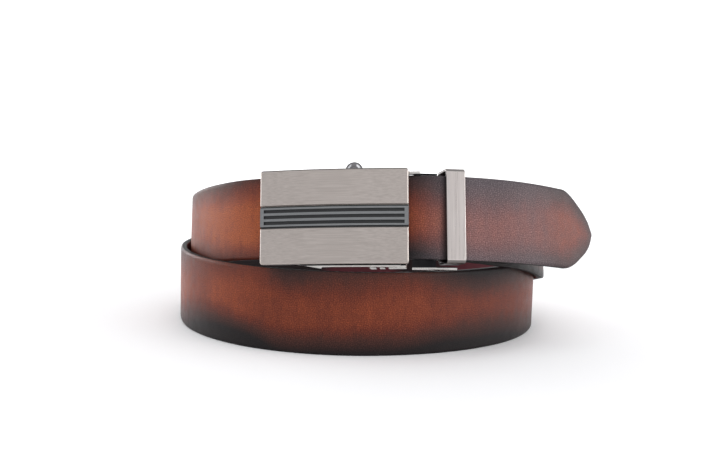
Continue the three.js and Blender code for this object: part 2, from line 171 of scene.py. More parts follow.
TAIL_ROWS = (
    (750, 91.6, 57.6, 12.8),
    (760, 97.6, 56.5, 13.2),
    (772, 105.0, 53.8, 14.4),
    (784, 112.0, 49.7, 14.5),
    (794, 116.4, 44.9, 10),
)
# Columns: share of the tip back from the nose, share of the strap's half width
TIP_ROWS = (
    (0, 0.07),
    (0.035, 0.17),
    (0.1, 0.31),
    (0.21, 0.47),
    (0.42, 0.69),
    (0.62, 0.88),
    (0.78, 0.985),
    (1, 1),
)
# The hand-rubbed dark bands along the edges. Columns: turn, distance from the upper edge at which the dye
# starts to show and at which it is full, the same from the lower edge, the strength of the dye, partly
# painted shade that keeps the lower turn darker, and how much painted sheen, a pale grey veil in the colour,
# lies there
BURNISH_ROWS = (
    (0, 1, 12, 1, 12, 0.8, 0),
    (60, 0, 10, 2, 13, 0.75, 0),
    (120, 1, 13, 1, 11, 0.85, 0),
    (190, 0, 11, 3, 14, 0.8, 0),
    (250, -4, 12, 3, 16, 0.75, 0.06),
    (296, -9, 14, 1, 15, 0.75, 0.05),
    (308, -20, 12, 5.5, 18.5, 0.66, 0.02),
    (320, -10, 10, 7, 18, 0.77, 0),
    (332, -16, 9, 4.5, 14.5, 0.66, 0),
    (338, -3, 11, 1, 12.5, 0.6, 0),
    (350, -5, 14, 1.2, 13, 0.63, 0),
    (362, -8, 13, 1.5, 14, 0.62, 0),
    (374, -10, 11.5, 2, 15, 0.64, 0),
    (386, -1.5, 12, 4.5, 16.5, 0.57, 0),
    (398, 2, 14.5, 4.5, 17.5, 0.52, 0),
    (410, 1.2, 13, 4.5, 16, 0.48, 0),
    (422, 0.5, 14, 1.5, 14, 0.5, 0),
    (450, 1, 14, 1, 13, 0.55, 0),
    (520, 0, 11, 2, 13, 0.8, 0),
    (580, 1, 13, 0, 11, 0.75, 0.03),
    (640, -2, 10, -4, 13, 0.8, 0),
    (652, -4, 9.5, -6, 14, 0.74, 0),
    (664, -3, 12, -6, 13, 0.95, 0),
    (676, -2, 13, -5, 9.5, 1, 0),
    (684, -4, 13, -5, 9, 1, 0),
    (715, -1, 13, -1, 12, 0.9, 0),
    (738, 0, 17, 2, 13, 0.78, 0.09),
    (746, 2.2, 17, -2.5, 11, 0.8, 0.38),
    (758, 2, 18, -2.5, 9.5, 0.66, 0.34),
    (766, 0, 14, -1, 11, 0.58, 0.32),
    (775, 0, 12.5, -1, 10.5, 0.62, 0.15),
    (790, 0, 12, -1, 11, 0.62, 0.15),
)
BAND_COLUMNS = ("upper_start", "upper_full", "lower_start", "lower_full")
TONE_COLUMNS = (DYE_WITH_SHADE, PAINTED_SHEEN)
# Painted shade in the narrow gaps: a painted shadow beside the keeper on the grain, and painted shade low
# inside the coil on the lining. Columns: turn, how dark the grain is, how dark the lining is
SHADE_ROWS = (
    (0, 0, 0),
    (495, 0, 0),
    (508, 0, 0.9),
    (521, 0, 0.9),
    (526, 0, 0),
    (549, 0, 0),
    (555, 0, 0.95),
    (612, 0, 0.95),
    (640, 0, 0),
    (742.5, 0, 0),
    (743.6, 0.75, 0),
    (744.2, 1, 0),
    (748.3, 1, 0),
    (748.9, 0, 0),
    (790, 0, 0),
)
SHADE_COLUMNS = (GRAIN_SHADE, LINING_SHADE)
# The path's stations lie closer together beside the keeper, so that its shade is sharp
FINE_TURNS = (741.5, 750.5, 30)


def linear(code: str) -> Colour:
    """Turn an sRGB hex colour to linear.

    Args:
        code: Six hex digits after a number sign.

    Returns:
        Red, green, blue and an alpha of 1.
    """
    parts = [int(code[i : i + 2], 16) / 255 for i in (1, 3, 5)]
    values = [c / 12.92 if c <= 0.04045 else ((c + 0.055) / 1.055) ** 2.4 for c in parts]
    return (values[0], values[1], values[2], 1.0)


def add_node(
    tree: bpy.types.NodeTree,
    kind: str,
    settings: Settings | None = None,
    inputs: dict[str | int, object] | None = None,
) -> bpy.types.Node:
    """Add one node with its settings and links.

    Args:
        tree: Tree that gets the node.
        kind: Blender's name of the node's type.
        settings: Properties of the node.
        inputs: For each input, by name or place, a value, the socket that feeds it or the node whose first
            enabled output feeds it.

    Returns:
        The new node.
    """
    node = tree.nodes.new(kind)
    for name, value in (settings or {}).items():
        setattr(node, name, value)
    for name, value in (inputs or {}).items():
        if isinstance(value, bpy.types.Node):
            value = next(socket for socket in value.outputs if socket.enabled)
        if isinstance(value, bpy.types.NodeSocket):
            tree.links.new(value, node.inputs[name])
        else:
            node.inputs[name].default_value = value
    return node


def new_material(name: str) -> tuple[bpy.types.Material, bpy.types.NodeTree]:
    """Make a material without nodes.

    Args:
        name: Name of the material.

    Returns:
        The material and its empty tree.
    """
    material = bpy.data.materials.new(name)
    material.use_nodes = True
    material.node_tree.nodes.clear()
    return material, material.node_tree


def new_object(name: str, mesh: bpy.types.Mesh) -> bpy.types.Object:
    """Put a mesh into the scene.

    Args:
        name: Name of the object.
        mesh: The object's mesh.

    Returns:
        The new object, at the origin.
    """
    made = bpy.data.objects.new(name, mesh)
    bpy.context.scene.collection.objects.link(made)
    return made


@contextmanager
def opened(mesh: bpy.types.Mesh) -> Iterator[bmesh.types.BMesh]:
    """Open a mesh for editing and write it back at the end.

    Args:
        mesh: Mesh to be edited.

    Yields:
        The mesh in the form that Blender edits.
    """
    shell = bmesh.new()
    shell.from_mesh(mesh)
    yield shell
    shell.to_mesh(mesh)
    shell.free()


def cut_across(shell: bmesh.types.BMesh, place: Point, normal: Point) -> None:
    """Cut a mesh's faces along a plane, and keep both sides.

    Args:
        shell: Mesh open for editing.
        place: Point of the plane, in metres.
        normal: Direction at right angles to the plane.
    """
    geometry = shell.verts[:] + shell.edges[:] + shell.faces[:]
    bmesh.ops.bisect_plane(shell, geom=geometry, plane_co=place, plane_no=normal, dist=MERGE)


def bake_modifiers(piece: bpy.types.Object) -> None:
    """Give a piece its evaluated mesh and take its modifiers off.

    Args:
        piece: Object with modifiers.
    """
    graph = bpy.context.evaluated_depsgraph_get()
    evaluated = piece.evaluated_get(graph)
    mesh = bpy.data.meshes.new_from_object(evaluated, preserve_all_data_layers=True, depsgraph=graph)
    piece.modifiers.clear()
    piece.data = mesh
    mesh.name = piece.name


def new_tree(name: str, inputs: dict[str, str]) -> bpy.types.NodeTree:
    """Make an empty Geometry Nodes tree with named inputs.

    Args:
        name: Name of the tree.
        inputs: Socket type of each named input.

    Returns:
        The tree, with a geometry input and output besides.
    """
    tree = bpy.data.node_groups.new(name, "GeometryNodeTree")
    tree.interface.new_socket("Geometry", in_out="OUTPUT", socket_type="NodeSocketGeometry")
    tree.interface.new_socket("Geometry", in_out="INPUT", socket_type="NodeSocketGeometry")
    for label, kind in inputs.items():
        tree.interface.new_socket(label, in_out="INPUT", socket_type=kind)
    return tree


def run_tree(piece: bpy.types.Object, tree: bpy.types.NodeTree, values: Settings) -> None:
    """Shape a piece by a tree and keep the result as its plain mesh.

    Args:
        piece: Object whose mesh goes into the tree.
        tree: Geometry Nodes tree.
        values: Value of each named input.
    """
    modifier = piece.modifiers.new(tree.name, "NODES")
    modifier.node_group = tree
    for item in tree.interface.items_tree:
        if item.in_out == "INPUT" and item.name in values:
            modifier[item.identifier] = values[item.name]
    bake_modifiers(piece)


def remember_place(mesh: bpy.types.Mesh) -> None:
    """Keep each point's place in the piece's own frame, in millimetres, for its patterns.

    Args:
        mesh: Mesh in the piece's own frame.
    """
    attribute = mesh.attributes.new(PLACE, "FLOAT_VECTOR", "POINT")
    places = np.empty(len(mesh.vertices) * 3, np.float32)
    mesh.vertices.foreach_get("co", places)
    attribute.data.foreach_set("vector", places / MM)


def mesh_from(name: str, points: Sequence[Point], faces: Sequence[Sequence[int]]) -> bpy.types.Mesh:
    """Make a closed mesh whose faces point outwards.

    Args:
        name: Name of the mesh.
        points: Places in millimetres.
        faces: Numbers of each face's points.

    Returns:
        The mesh, in metres.
    """
    mesh = bpy.data.meshes.new(name)
    mesh.from_pydata([tuple(value * MM for value in point) for point in points], [], faces)
    with opened(mesh) as shell:
        bmesh.ops.remove_doubles(shell, verts=shell.verts, dist=MERGE)
        bmesh.ops.recalc_face_normals(shell, faces=shell.faces)
    return mesh


def soften(
    piece: bpy.types.Object, width: float = SMALL_ROUNDING, segments: int = 2, angle: float = 35.0
) -> None:
    """Round a metal piece's edges, so that they catch the light, and even out its shading.

    Args:
        piece: Object with a closed mesh.
        width: Width of the rounding in millimetres.
        segments: Faces across the rounding.
        angle: Edges that turn more than this many degrees are rounded.
    """
    bevel = piece.modifiers.new("rounded_edges", "BEVEL")
    bevel.limit_method = "ANGLE"
    bevel.angle_limit = math.radians(angle)
    bevel.width = width * MM
    bevel.segments = segments
    even_shading(piece)


def even_shading(piece: bpy.types.Object) -> None:
    """Shade a piece smooth with normals that follow its large faces, and bake its modifiers.

    Args:
        piece: Object with a closed mesh.
    """
    piece.data.shade_smooth()
    weighted = piece.modifiers.new("even_shading", "WEIGHTED_NORMAL")
    weighted.keep_sharp = True
    bake_modifiers(piece)


def place_piece(piece: bpy.types.Object, matrix: Matrix, material: bpy.types.Material) -> None:
    """Move a piece's mesh from its own frame to the part's, and dress it.

    Args:
        piece: Object whose mesh is in its own frame.
        matrix: The piece's frame in the part.
        material: Finish of a mesh that has none yet.
    """
    remember_place(piece.data)
    piece.data.transform(matrix)
    if not piece.data.materials:
        piece.data.materials.append(material)


def finish_piece(piece: bpy.types.Object, body: str, replaced: Sequence[str]) -> None:
    """Tell the frame what a piece is.

    Args:
        piece: Finished object.
        body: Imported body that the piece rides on.
        replaced: CAD nodes that it stands for.
    """
    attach(piece, body)
    if replaced:
        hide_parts(*replaced)
    faces = sum(len(face.vertices) - 2 for face in piece.data.polygons)
    log.info("%s rides on %s: %d triangles", piece.name, body, faces)


def box_mesh(name: str, spans: Sequence[tuple[float, float]]) -> bpy.types.Mesh:
    """Make a box.

    Args:
        name: Name of the mesh.
        spans: Its lowest and highest place along x, y and z, in millimetres.

    Returns:
        The closed mesh.
    """
    points = [(x, y, z) for x in spans[0] for y in spans[1] for z in spans[2]]
    faces = [(0, 1, 3, 2), (4, 6, 7, 5), (0, 4, 5, 1), (2, 3, 7, 6), (0, 2, 6, 4), (1, 5, 7, 3)]
    return mesh_from(name, points, faces)


def turned_mesh(name: str, profile: Sequence[tuple[float, float]], sides: int, axis: int) -> bpy.types.Mesh:
    """Make a turned solid.

    Args:
        name: Name of the mesh.
        profile: Radius and height of each ring, the first and last on the axis.
        sides: Faces round the axis.
        axis: 1 for the y axis and 2 for the z axis.

    Returns:
        The closed mesh.
    """
    points: list[Point] = []
    for radius, height in profile:
        for side in range(sides):
            angle = math.tau * side / sides
            across = (radius * math.cos(angle), radius * math.sin(angle))
            points.append((across[0], height, across[1]) if axis == 1 else (*across, height))
    faces = []
    for ring in range(len(profile) - 1):
        for side in range(sides):
            a = ring * sides + side
            b = ring * sides + (side + 1) % sides
            faces.append((a, b, b + sides, a + sides))
    mesh = mesh_from(name, points, faces)
    with opened(mesh) as shell:
        bmesh.ops.dissolve_degenerate(shell, edges=shell.edges, dist=MERGE)
        bmesh.ops.recalc_face_normals(shell, faces=shell.faces)
    return mesh


def join_solids(piece: bpy.types.Object, others: Sequence[bpy.types.Mesh]) -> None:
    """Unite closed meshes with a piece, so that no face is left inside.

    Args:
        piece: Object that takes the others in.
        others: Closed meshes that reach into it.
    """
    helpers = []
    for mesh in others:
        helper = new_object(f"{mesh.name}_tool", mesh)
        union = piece.modifiers.new(mesh.name, "BOOLEAN")
        union.operation = "UNION"
        union.solver = "EXACT"
        union.object = helper
        helpers.append(helper)
    bake_modifiers(piece)
    for helper in helpers:
        bpy.data.objects.remove(helper)


def cleaned_copy(node: bpy.types.Object, name: str) -> bpy.types.Object:
    """Copy a CAD node as a closed mesh with whole flat faces.

    Args:
        node: CAD node of loose triangles.
        name: Name of the copy.

    Returns:
        The copy, in the part's frame.
    """
    mesh = node.data.copy()
    mesh.materials.clear()
    with opened(mesh) as shell:
        bmesh.ops.remove_doubles(shell, verts=shell.verts, dist=CAD_MERGE)
        bmesh.ops.dissolve_degenerate(shell, edges=shell.edges, dist=NEAR)
        bmesh.ops.dissolve_limit(
            shell, angle_limit=CAD_FLAT, verts=shell.verts, edges=shell.edges, delimit={"NORMAL"}
        )
        bmesh.ops.recalc_face_normals(shell, faces=shell.faces)
    for layer in list(mesh.uv_layers):
        mesh.uv_layers.remove(layer)
    return new_object(name, mesh)


def dress_copy(piece: bpy.types.Object, matrix: Matrix, material: bpy.types.Material) -> None:
    """Give a CAD copy its places in its own frame and its material, without moving it.

    Args:
        piece: Object in the part's frame.
        matrix: The piece's own frame in the part.
        material: Its finish.
    """
    piece.data.transform(matrix.inverted())
    remember_place(piece.data)
    piece.data.transform(matrix)
    piece.data.materials.clear()
    piece.data.materials.append(material)


def paint_front_shade(
    piece: bpy.types.Object, matrix: Matrix, material: bpy.types.Material, heights: tuple[float, float]
) -> None:
    """Paint shade on the front of a piece between two heights in the buckle's frame, in a near-black metal.

    Args:
        piece: Object in the part's frame.
        matrix: The buckle's frame.
        material: Near-black finish of the faces with painted shade.
        heights: Lowest and highest place that turns black.
    """
    mesh = piece.data
    mesh.materials.append(material)
    mesh.transform(matrix.inverted())
    low, high = heights
    with opened(mesh) as shell:
        for height in heights:
            cut_across(shell, (0, 0, height * MM), (0, 0, 1))
        for face in shell.faces:
            if face.normal.y < FACES_FRONT and low < face.calc_center_median().z / MM < high:
                face.material_index = len(mesh.materials) - 1
    mesh.transform(matrix)


class TableCurve:
    """Smooth curve through a table's rows: cubics whose slope at a row is that of a parabola there."""

    def __init__(self, rows: Sequence[Sequence[float]], column: int) -> None:
        """Read one column of a table.

        Args:
            rows: Table with the place in its first column.
            column: Number of the column that the curve follows.
        """
        self.places = [float(row[0]) for row in rows]
        self.values = [float(row[column]) for row in rows]
        last = len(rows) - 1
        lengths = [self.places[i + 1] - self.places[i] for i in range(last)]
        rises = [(self.values[i + 1] - self.values[i]) / lengths[i] for i in range(last)]
        self.slopes = [rises[0]]
        for i in range(1, last):
            before, after = lengths[i - 1], lengths[i]
            self.slopes.append((before * rises[i] + after * rises[i - 1]) / (before + after))
        self.slopes.append(rises[-1])

    def __call__(self, place: float) -> float:
        """Follow the curve.

        Args:
            place: Place along the table's first column.

        Returns:
            The curve's value there.
        """
        last = len(self.places) - 1
        i = next((k - 1 for k in range(1, last + 1) if self.places[k] >= place), last - 1)
        length = self.places[i + 1] - self.places[i]
        t = (place - self.places[i]) / length
        u = 1 - t
        ends = self.values[i] * u * u * (1 + 2 * t) + self.values[i + 1] * t * t * (3 - 2 * t)
        return ends + length * t * u * (self.slopes[i] * u - self.slopes[i + 1] * t)


@dataclass(frozen=True)
class Station:
    """A place on the strap's path with its directions, in the coil's frame."""

    centre: Vector
    along: Vector
    width: Vector
    normal: Vector
    lean: float

    def beside(self, depth: float, height: float) -> Vector:
        """Return the point that lies a depth into the coil and a height up the width."""
        return self.centre - self.normal * depth + self.width * height

    def frame(self) -> Matrix:
        """Return the frame with x along the strap, y into the coil and z up the width."""
        turn = Matrix((self.along, -self.normal, self.width)).transposed().to_4x4()
        return Matrix.Translation(self.centre) @ turn


def directions(heading: float, slope: float, lean: float) -> tuple[Vector, Vector, Vector]:
    """Work out a strap's directions at a place.

    Args:
        heading: Direction on the floor in radians.
        slope: Climb in radians.
        lean: Tilt of the top into the coil in radians.

    Returns:
        The directions along the strap, up its width and out of the coil.
    """
    flat = Vector((math.cos(heading), math.sin(heading), 0))
    out = Vector((math.sin(heading), -math.cos(heading), 0))
    along = flat * math.cos(slope) + Vector((0, 0, math.sin(slope)))
    up = flat * -math.sin(slope) + Vector((0, 0, math.cos(slope)))
    width = up * math.cos(lean) - out * math.sin(lean)
    normal = out * math.cos(lean) + up * math.sin(lean)
    return along, width, normal


class StrapPath:
    """The strap's path through the rows of a table."""

    nudge = 0.2

    def __init__(self, rows: Sequence[Sequence[float]]) -> None:
        """Read the path's table.

        Args:
            rows: Turn in degrees, radius, middle of the width and lean in degrees.
        """
        self.radius = TableCurve(rows, 1)
        self.middle = TableCurve(rows, 2)
        self.lean = TableCurve(rows, 3)

    def centre(self, turn: float) -> Vector:
        """Find the middle of the strap.

        Args:
            turn: Turn in degrees.

        Returns:
            The place in the coil's frame, no lower than a strap that stands on the floor.
        """
        angle = math.radians(turn)
        radius = self.radius(turn)
        height = max(self.middle(turn), HALF_WIDTH)
        return Vector((radius * math.sin(angle), -radius * math.cos(angle), height))

    def at(self, turn: float) -> Station:
        """Find the strap's place and directions.

        Args:
            turn: Turn in degrees.

        Returns:
            The station at that turn.
        """
        step = self.centre(turn + self.nudge) - self.centre(turn - self.nudge)
        lean = max(self.lean(turn), 0.0)
        heading = math.atan2(step.y, step.x)
        slope = math.atan2(step.z, math.hypot(step.x, step.y))
        return Station(self.centre(turn), *directions(heading, slope, math.radians(lean)), lean)


def row_at(point: Vector, lean: float, first_turn: float) -> tuple[float, float, float, float]:
    """Turn a point on the strap's path to a row of the path's table.

    Args:
        point: Middle of the strap in the coil's frame.
        lean: Tilt of the top into the coil in degrees.
        first_turn: Turn in degrees at which the point's round begins.

    Returns:
        Turn, radius, middle and lean.
    """
    turn = math.degrees(math.atan2(point.x, -point.y)) + first_turn
    return (turn, math.hypot(point.x, point.y), point.z, lean)


@dataclass(frozen=True)
class Run:
    """Straight run of the strap through the buckle."""

    x: float = -7.3
    y: float = -76.7
    middle: float = 56.2
    yaw: float = 8.3
    slope: float = 3.4
    lean: float = 12.4

    def station(self) -> Station:
        """Return the middle of the run."""
        axes = directions(math.radians(-self.yaw), math.radians(self.slope), math.radians(self.lean))
        return Station(Vector((self.x, self.y, self.middle)), *axes, self.lean)

    def rows(self) -> list[tuple[float, float, float, float]]:
        """Return the table rows of the run."""
        place = self.station()
        return [row_at(place.centre + place.along * stop, self.lean, FRONT) for stop in RUN_STOPS]


class Coil:
    """The whole belt's layout: the strap's path and the frames of the pieces on it."""

    def __init__(self) -> None:
        """Lay the path out from the tables."""
        self.run = Run()
        self.shift = Matrix.Translation(Vector(PART_SHIFT))
        tail_rows = [*INNER_ROWS, *self.run.rows(), *TAIL_ROWS]
        self.tail = StrapPath(tail_rows)
        layer_rows = []
        for turn in LAYER_TURNS:
            place = self.tail.at(FRONT + turn)
            layer_rows.append(row_at(place.beside(LAYER, 0), place.lean, 0.0))
        self.strap = StrapPath([*layer_rows, *OUTER_ROWS, *LOWER_ROWS, *tail_rows])

    def in_part(self, frame: Matrix) -> Matrix:
        """Take a frame from the coil to the part.

        Args:
            frame: Frame in the coil, in millimetres.

        Returns:
            The same frame in the part, in metres.
        """
        placed = self.shift @ frame
        placed.translation = placed.translation * MM
        return placed

    def buckle_frame(self) -> Matrix:
        """Return the buckle's frame in the part."""
        return self.in_part(self.run.station().frame())


@dataclass(frozen=True)
class GrainLeather:
    """Full-grain cowhide, drum dyed cognac, its edges rubbed by hand with dark wax. The wax fills the grain
    and leaves a low gloss that greys at a slant."""

    name: str = "full_grain_cowhide"
    stops: tuple[tuple[float, str], ...] = (
        (0.0, "#1b1617"),
        (0.25, "#43251f"),
        (0.5, "#652d1e"),
        (0.75, "#803b23"),
        (1.0, "#964a26"),
    )
    # Colour of the painted sheen, a pale grey veil mixed over the dye in place of a reflection
    haze: str = "#8d8186"
    # Hair pores and the cells between them are about 0.9 mm apart on cowhide
    cell_mm: float = 0.85
    # Pores a tenth of a millimetre wide are too fine to see singly and drawn as specks of 0.6 mm
    speck_mm: float = 0.6
    cloud_mm: float = 15.0
    rub_mm: float = 4.5
    # The wax was wiped across the strap and leaves faint upright streaks: their width and length
    streak_mm: tuple[float, float] = (3.5, 15.0)
    # How strongly each pattern makes the dye uneven
    unevenness: tuple[tuple[str, float], ...] = (("clouds", 0.3), ("rub", 0.3), ("streaks", 0.4))
    # Part of a cell that slopes to its valley, and the tones from valley to cell and from pore to skin
    valley_share: float = 0.25
    valley_tones: tuple[float, float] = (0.66, 1.14)
    speck_tones: tuple[float, float] = (0.76, 1.24)
    # How much the painted shadow beside the keeper darkens the grain
    painted_shade_strength: float = 0.9
    speck_relief: float = 0.3
    # Depths in millimetres of the grain and of the slack waves in the hide
    grain_depth: float = 0.06
    slack_depth: float = 0.4
    grain_strength: float = 0.5
    slack_strength: float = 0.35
    noise_roughness: float = 0.6
    roughness: float = 0.46
    spread: float = 0.05
    gloss_level: float = 0.18

    def build(self) -> bpy.types.Material:
        """Mix the leather.

        Returns:
            The material of the strap's outer face.
        """
        material, tree = new_material(self.name)
        strap = add_node(tree, "ShaderNodeUVMap", {"uv_map": STRAP_UV})
        mm = add_node(tree, "ShaderNodeVectorMath", {"operation": "MULTIPLY"}, {0: strap, 1: (1 / MM,) * 3})
        wide, long = self.streak_mm
        stretch = {0: mm, 1: (1 / wide, 1 / long, 1.0)}
        stretched = add_node(tree, "ShaderNodeVectorMath", {"operation": "MULTIPLY"}, stretch)
        # Columns of the patterns: name, place, size in millimetres, detail
        noise = {
            label: add_node(
                tree,
                "ShaderNodeTexNoise",
                {"noise_dimensions": "2D"},
                {"Vector": vector, "Scale": 1 / size, "Detail": detail, "Roughness": self.noise_roughness},
            )
            for label, vector, size, detail in (
                ("clouds", mm, self.cloud_mm, 3.0),
                ("rub", mm, self.rub_mm, 4.0),
                ("streaks", stretched, 1.0, 2.0),
                ("specks", mm, self.speck_mm, 1.0),
            )
        }
        cells = add_node(
            tree,
            "ShaderNodeTexVoronoi",
            {"voronoi_dimensions": "2D", "feature": "DISTANCE_TO_EDGE"},
            {"Vector": mm, "Scale": 1 / self.cell_mm, "Randomness": 1.0},
        )
        ramp = add_node(tree, "ShaderNodeValToRGB", {}, {"Fac": self.dye(tree, noise)})
        self.fill_ramp(ramp.color_ramp)
        # Painted sheen: a pale grey veil mixed over the dye where the attribute says, in place of a
        # reflection
        haze = add_node(tree, "ShaderNodeAttribute", {"attribute_name": PAINTED_SHEEN})
        veil_layer = {0: haze.outputs["Fac"], 6: ramp, 7: linear(self.haze)}
        with_painted_sheen = add_node(tree, "ShaderNodeMix", {"data_type": "RGBA"}, veil_layer)
        # Painted shadow beside the keeper, read from the grain's shade attribute
        painted_shade = add_node(tree, "ShaderNodeAttribute", {"attribute_name": GRAIN_SHADE})
        parts = {"specks": noise["specks"], "painted_shade": painted_shade.outputs["Fac"]}
        # Pigment lies darker in the valleys between the cells, and rubbing leaves an uneven gloss
        for label, value, span, low, high in (
            ("valley", cells.outputs["Distance"], (0.0, self.valley_share), *self.valley_tones),
            ("speck", noise["specks"], NOISE_SPAN, *self.speck_tones),
            ("gloss", noise["rub"], NOISE_SPAN, self.roughness - self.spread, self.roughness + self.spread),
        ):
            ends = {"From Min": span[0], "From Max": span[1], "To Min": low, "To Max": high}
            parts[label] = add_node(tree, "ShaderNodeMapRange", {"clamp": True}, {"Value": value, **ends})
        for label, operation, *values in (
            ("unshaded", "MULTIPLY_ADD", "painted_shade", -self.painted_shade_strength, 1.0),
            ("pores", "MULTIPLY", "valley", "speck"),
            ("shade", "MULTIPLY", "pores", "unshaded"),
            ("relief", "MULTIPLY_ADD", "specks", self.speck_relief, "valley"),
        ):
            fed = {place: parts.get(value, value) for place, value in enumerate(values)}
            parts[label] = add_node(tree, "ShaderNodeMath", {"operation": operation}, fed)
        shaded = {0: with_painted_sheen.outputs[2], "Scale": parts["shade"]}
        colour = add_node(tree, "ShaderNodeVectorMath", {"operation": "SCALE"}, shaded)
        bump = None
        for strength, depth, height in (
            (self.grain_strength, self.grain_depth, parts["relief"]),
            (self.slack_strength, self.slack_depth, noise["clouds"]),
        ):
            relief = {"Strength": strength, "Distance": depth * MM, "Height": height}
            below = {"Normal": bump} if bump else {}
            bump = add_node(tree, "ShaderNodeBump", {}, {**relief, **below})
        shader = add_node(
            tree,
            "ShaderNodeBsdfPrincipled",
            {},
            {
                "Base Color": colour,
                "Roughness": parts["gloss"],
                "Specular IOR Level": self.gloss_level,
                "Normal": bump,
            },
        )
        add_node(tree, "ShaderNodeOutputMaterial", {}, {"Surface": shader})
        return material

    def dye(self, tree: bpy.types.NodeTree, noise: dict[str, bpy.types.Node]) -> bpy.types.Node:
        """Add the nodes that say how much dye shows at a place, with the painted shade that the dye column
        carries.

        Args:
            tree: The material's tree.
            noise: Patterns named clouds, rub and streaks, each from 0 to 1.

        Returns:
            The node of the dye from 0, all wax, to 1.
        """
        bands = add_node(tree, "ShaderNodeUVMap", {"uv_map": BURNISH_UV})
        tone = add_node(tree, "ShaderNodeAttribute", {"attribute_name": DYE_WITH_SHADE})
        shares = add_node(tree, "ShaderNodeSeparateXYZ", {}, {"Vector": bands})
        ends = {"upper": shares.outputs["X"], "lower": shares.outputs["Y"]}
        parts = {**noise, **ends, "tone": tone.outputs["Fac"], "uneven": 1.0}
        # The nearer edge decides how much wax a place has taken. The last value softens the change
        rows = [
            ("nearer", "SMOOTH_MIN", "upper", "lower", 0.25),
            ("level", "SMOOTH_MIN", "nearer", 1.0, 0.2),
            ("shown", "SMOOTH_MAX", "level", 0.0, 0.12),
        ]
        for label, strength in self.unevenness:
            rows.append(("even", "SUBTRACT", "uneven", strength / 2))
            rows.append(("uneven", "MULTIPLY_ADD", label, strength, "even"))
        # The dye column is partly real uneven dye and partly painted shade that keeps the lower turn darker
        rows.append(("toned", "MULTIPLY", "shown", "tone"))
        rows.append(("dye", "MULTIPLY", "toned", "uneven"))
        for label, operation, *values in rows:
            fed = {place: parts.get(value, value) for place, value in enumerate(values)}
            parts[label] = add_node(tree, "ShaderNodeMath", {"operation": operation}, fed)
        return parts["dye"]

    def fill_ramp(self, ramp: bpy.types.ColorRamp) -> None:
        """Give a ramp the wax-to-cognac colours.

        Args:
            ramp: Ramp with two stops.
        """
        while len(ramp.elements) < len(self.stops):
            ramp.elements.new(0.5)
        for element, (place, code) in zip(ramp.elements, self.stops):
            element.position = place
            element.color = linear(code)


@dataclass(frozen=True)
class PlainHide:
    """Smooth split leather or edge paint: one dye, a close fine grain and a low sheen."""

    name: str
    colour: str
    deep: str
    grain_mm: float
    roughness: float
    bump: float
    gloss_level: float = 0.5
    stain_mm: float = 9.0
    detail: float = 3.0
    bump_depth: float = 0.05
    # Attribute that says where painted shade darkens the hide, the painted shade's colour, and the heights
    # over the floor at which the painted shade starts and is full
    shade: str = ""
    painted_shade_colour: str = "#0c0708"
    painted_shade_heights: tuple[float, float] = (30.0, 20.0)

    def build(self) -> bpy.types.Material:
        """Mix the hide or paint.

        Returns:
            Its material.
        """
        material, tree = new_material(self.name)
        place = add_node(tree, "ShaderNodeTexCoord").outputs["Object"]
        noise = {"Vector": place, "Detail": self.detail}
        grain, stains = (
            add_node(tree, "ShaderNodeTexNoise", {}, {**noise, "Scale": 1 / (size * MM)})
            for size in (self.grain_mm, self.stain_mm)
        )
        dyes = {0: stains, 6: linear(self.deep), 7: linear(self.colour)}
        colour = add_node(tree, "ShaderNodeMix", {"data_type": "RGBA"}, dyes)
        if self.shade:
            colour = self.add_painted_shade(tree, place, colour)
        bumps = {"Strength": self.bump, "Distance": self.bump_depth * MM, "Height": grain}
        shader = add_node(
            tree,
            "ShaderNodeBsdfPrincipled",
            {},
            {
                "Base Color": colour.outputs[2],
                "Roughness": self.roughness,
                "Specular IOR Level": self.gloss_level,
                "Normal": add_node(tree, "ShaderNodeBump", {}, bumps),
            },
        )
        add_node(tree, "ShaderNodeOutputMaterial", {}, {"Surface": shader})
        return material

    def add_painted_shade(
        self, tree: bpy.types.NodeTree, place: bpy.types.NodeSocket, unshaded: bpy.types.Node
    ) -> bpy.types.Node:
        """Darken a colour low down with painted shade, where the shade attribute says so.

        Args:
            tree: The material's tree.
            place: Socket of the place in the part.
            unshaded: Node that mixes the colour before the painted shade.

        Returns:
            The node that mixes the colour with the painted shade.
        """
        painted_shade = add_node(tree, "ShaderNodeAttribute", {"attribute_name": self.shade})
        height = add_node(tree, "ShaderNodeSeparateXYZ", {}, {"Vector": place}).outputs["Z"]
        start, full = self.painted_shade_heights
        ends = {"Value": height, "From Min": start * MM, "From Max": full * MM}
        low = add_node(tree, "ShaderNodeMapRange", {"interpolation_type": "SMOOTHSTEP"}, ends)
        share = add_node(tree, "ShaderNodeMath", {"operation": "MULTIPLY"}, {0: painted_shade.outputs["Fac"], 1: low})
        mixed = {0: share, 6: unshaded.outputs[2], 7: linear(self.painted_shade_colour)}
        return add_node(tree, "ShaderNodeMix", {"data_type": "RGBA"}, mixed)


class Grain(Enum):
    """Which way a metal was brushed in its piece's own frame, as lengths of a stroke along x, y and z."""

    ALONG_STRAP = (26.0, 0.28, 0.28)
    UP_THE_WIDTH = (0.28, 0.28, 26.0)
    NONE = (7.0, 7.0, 7.0)


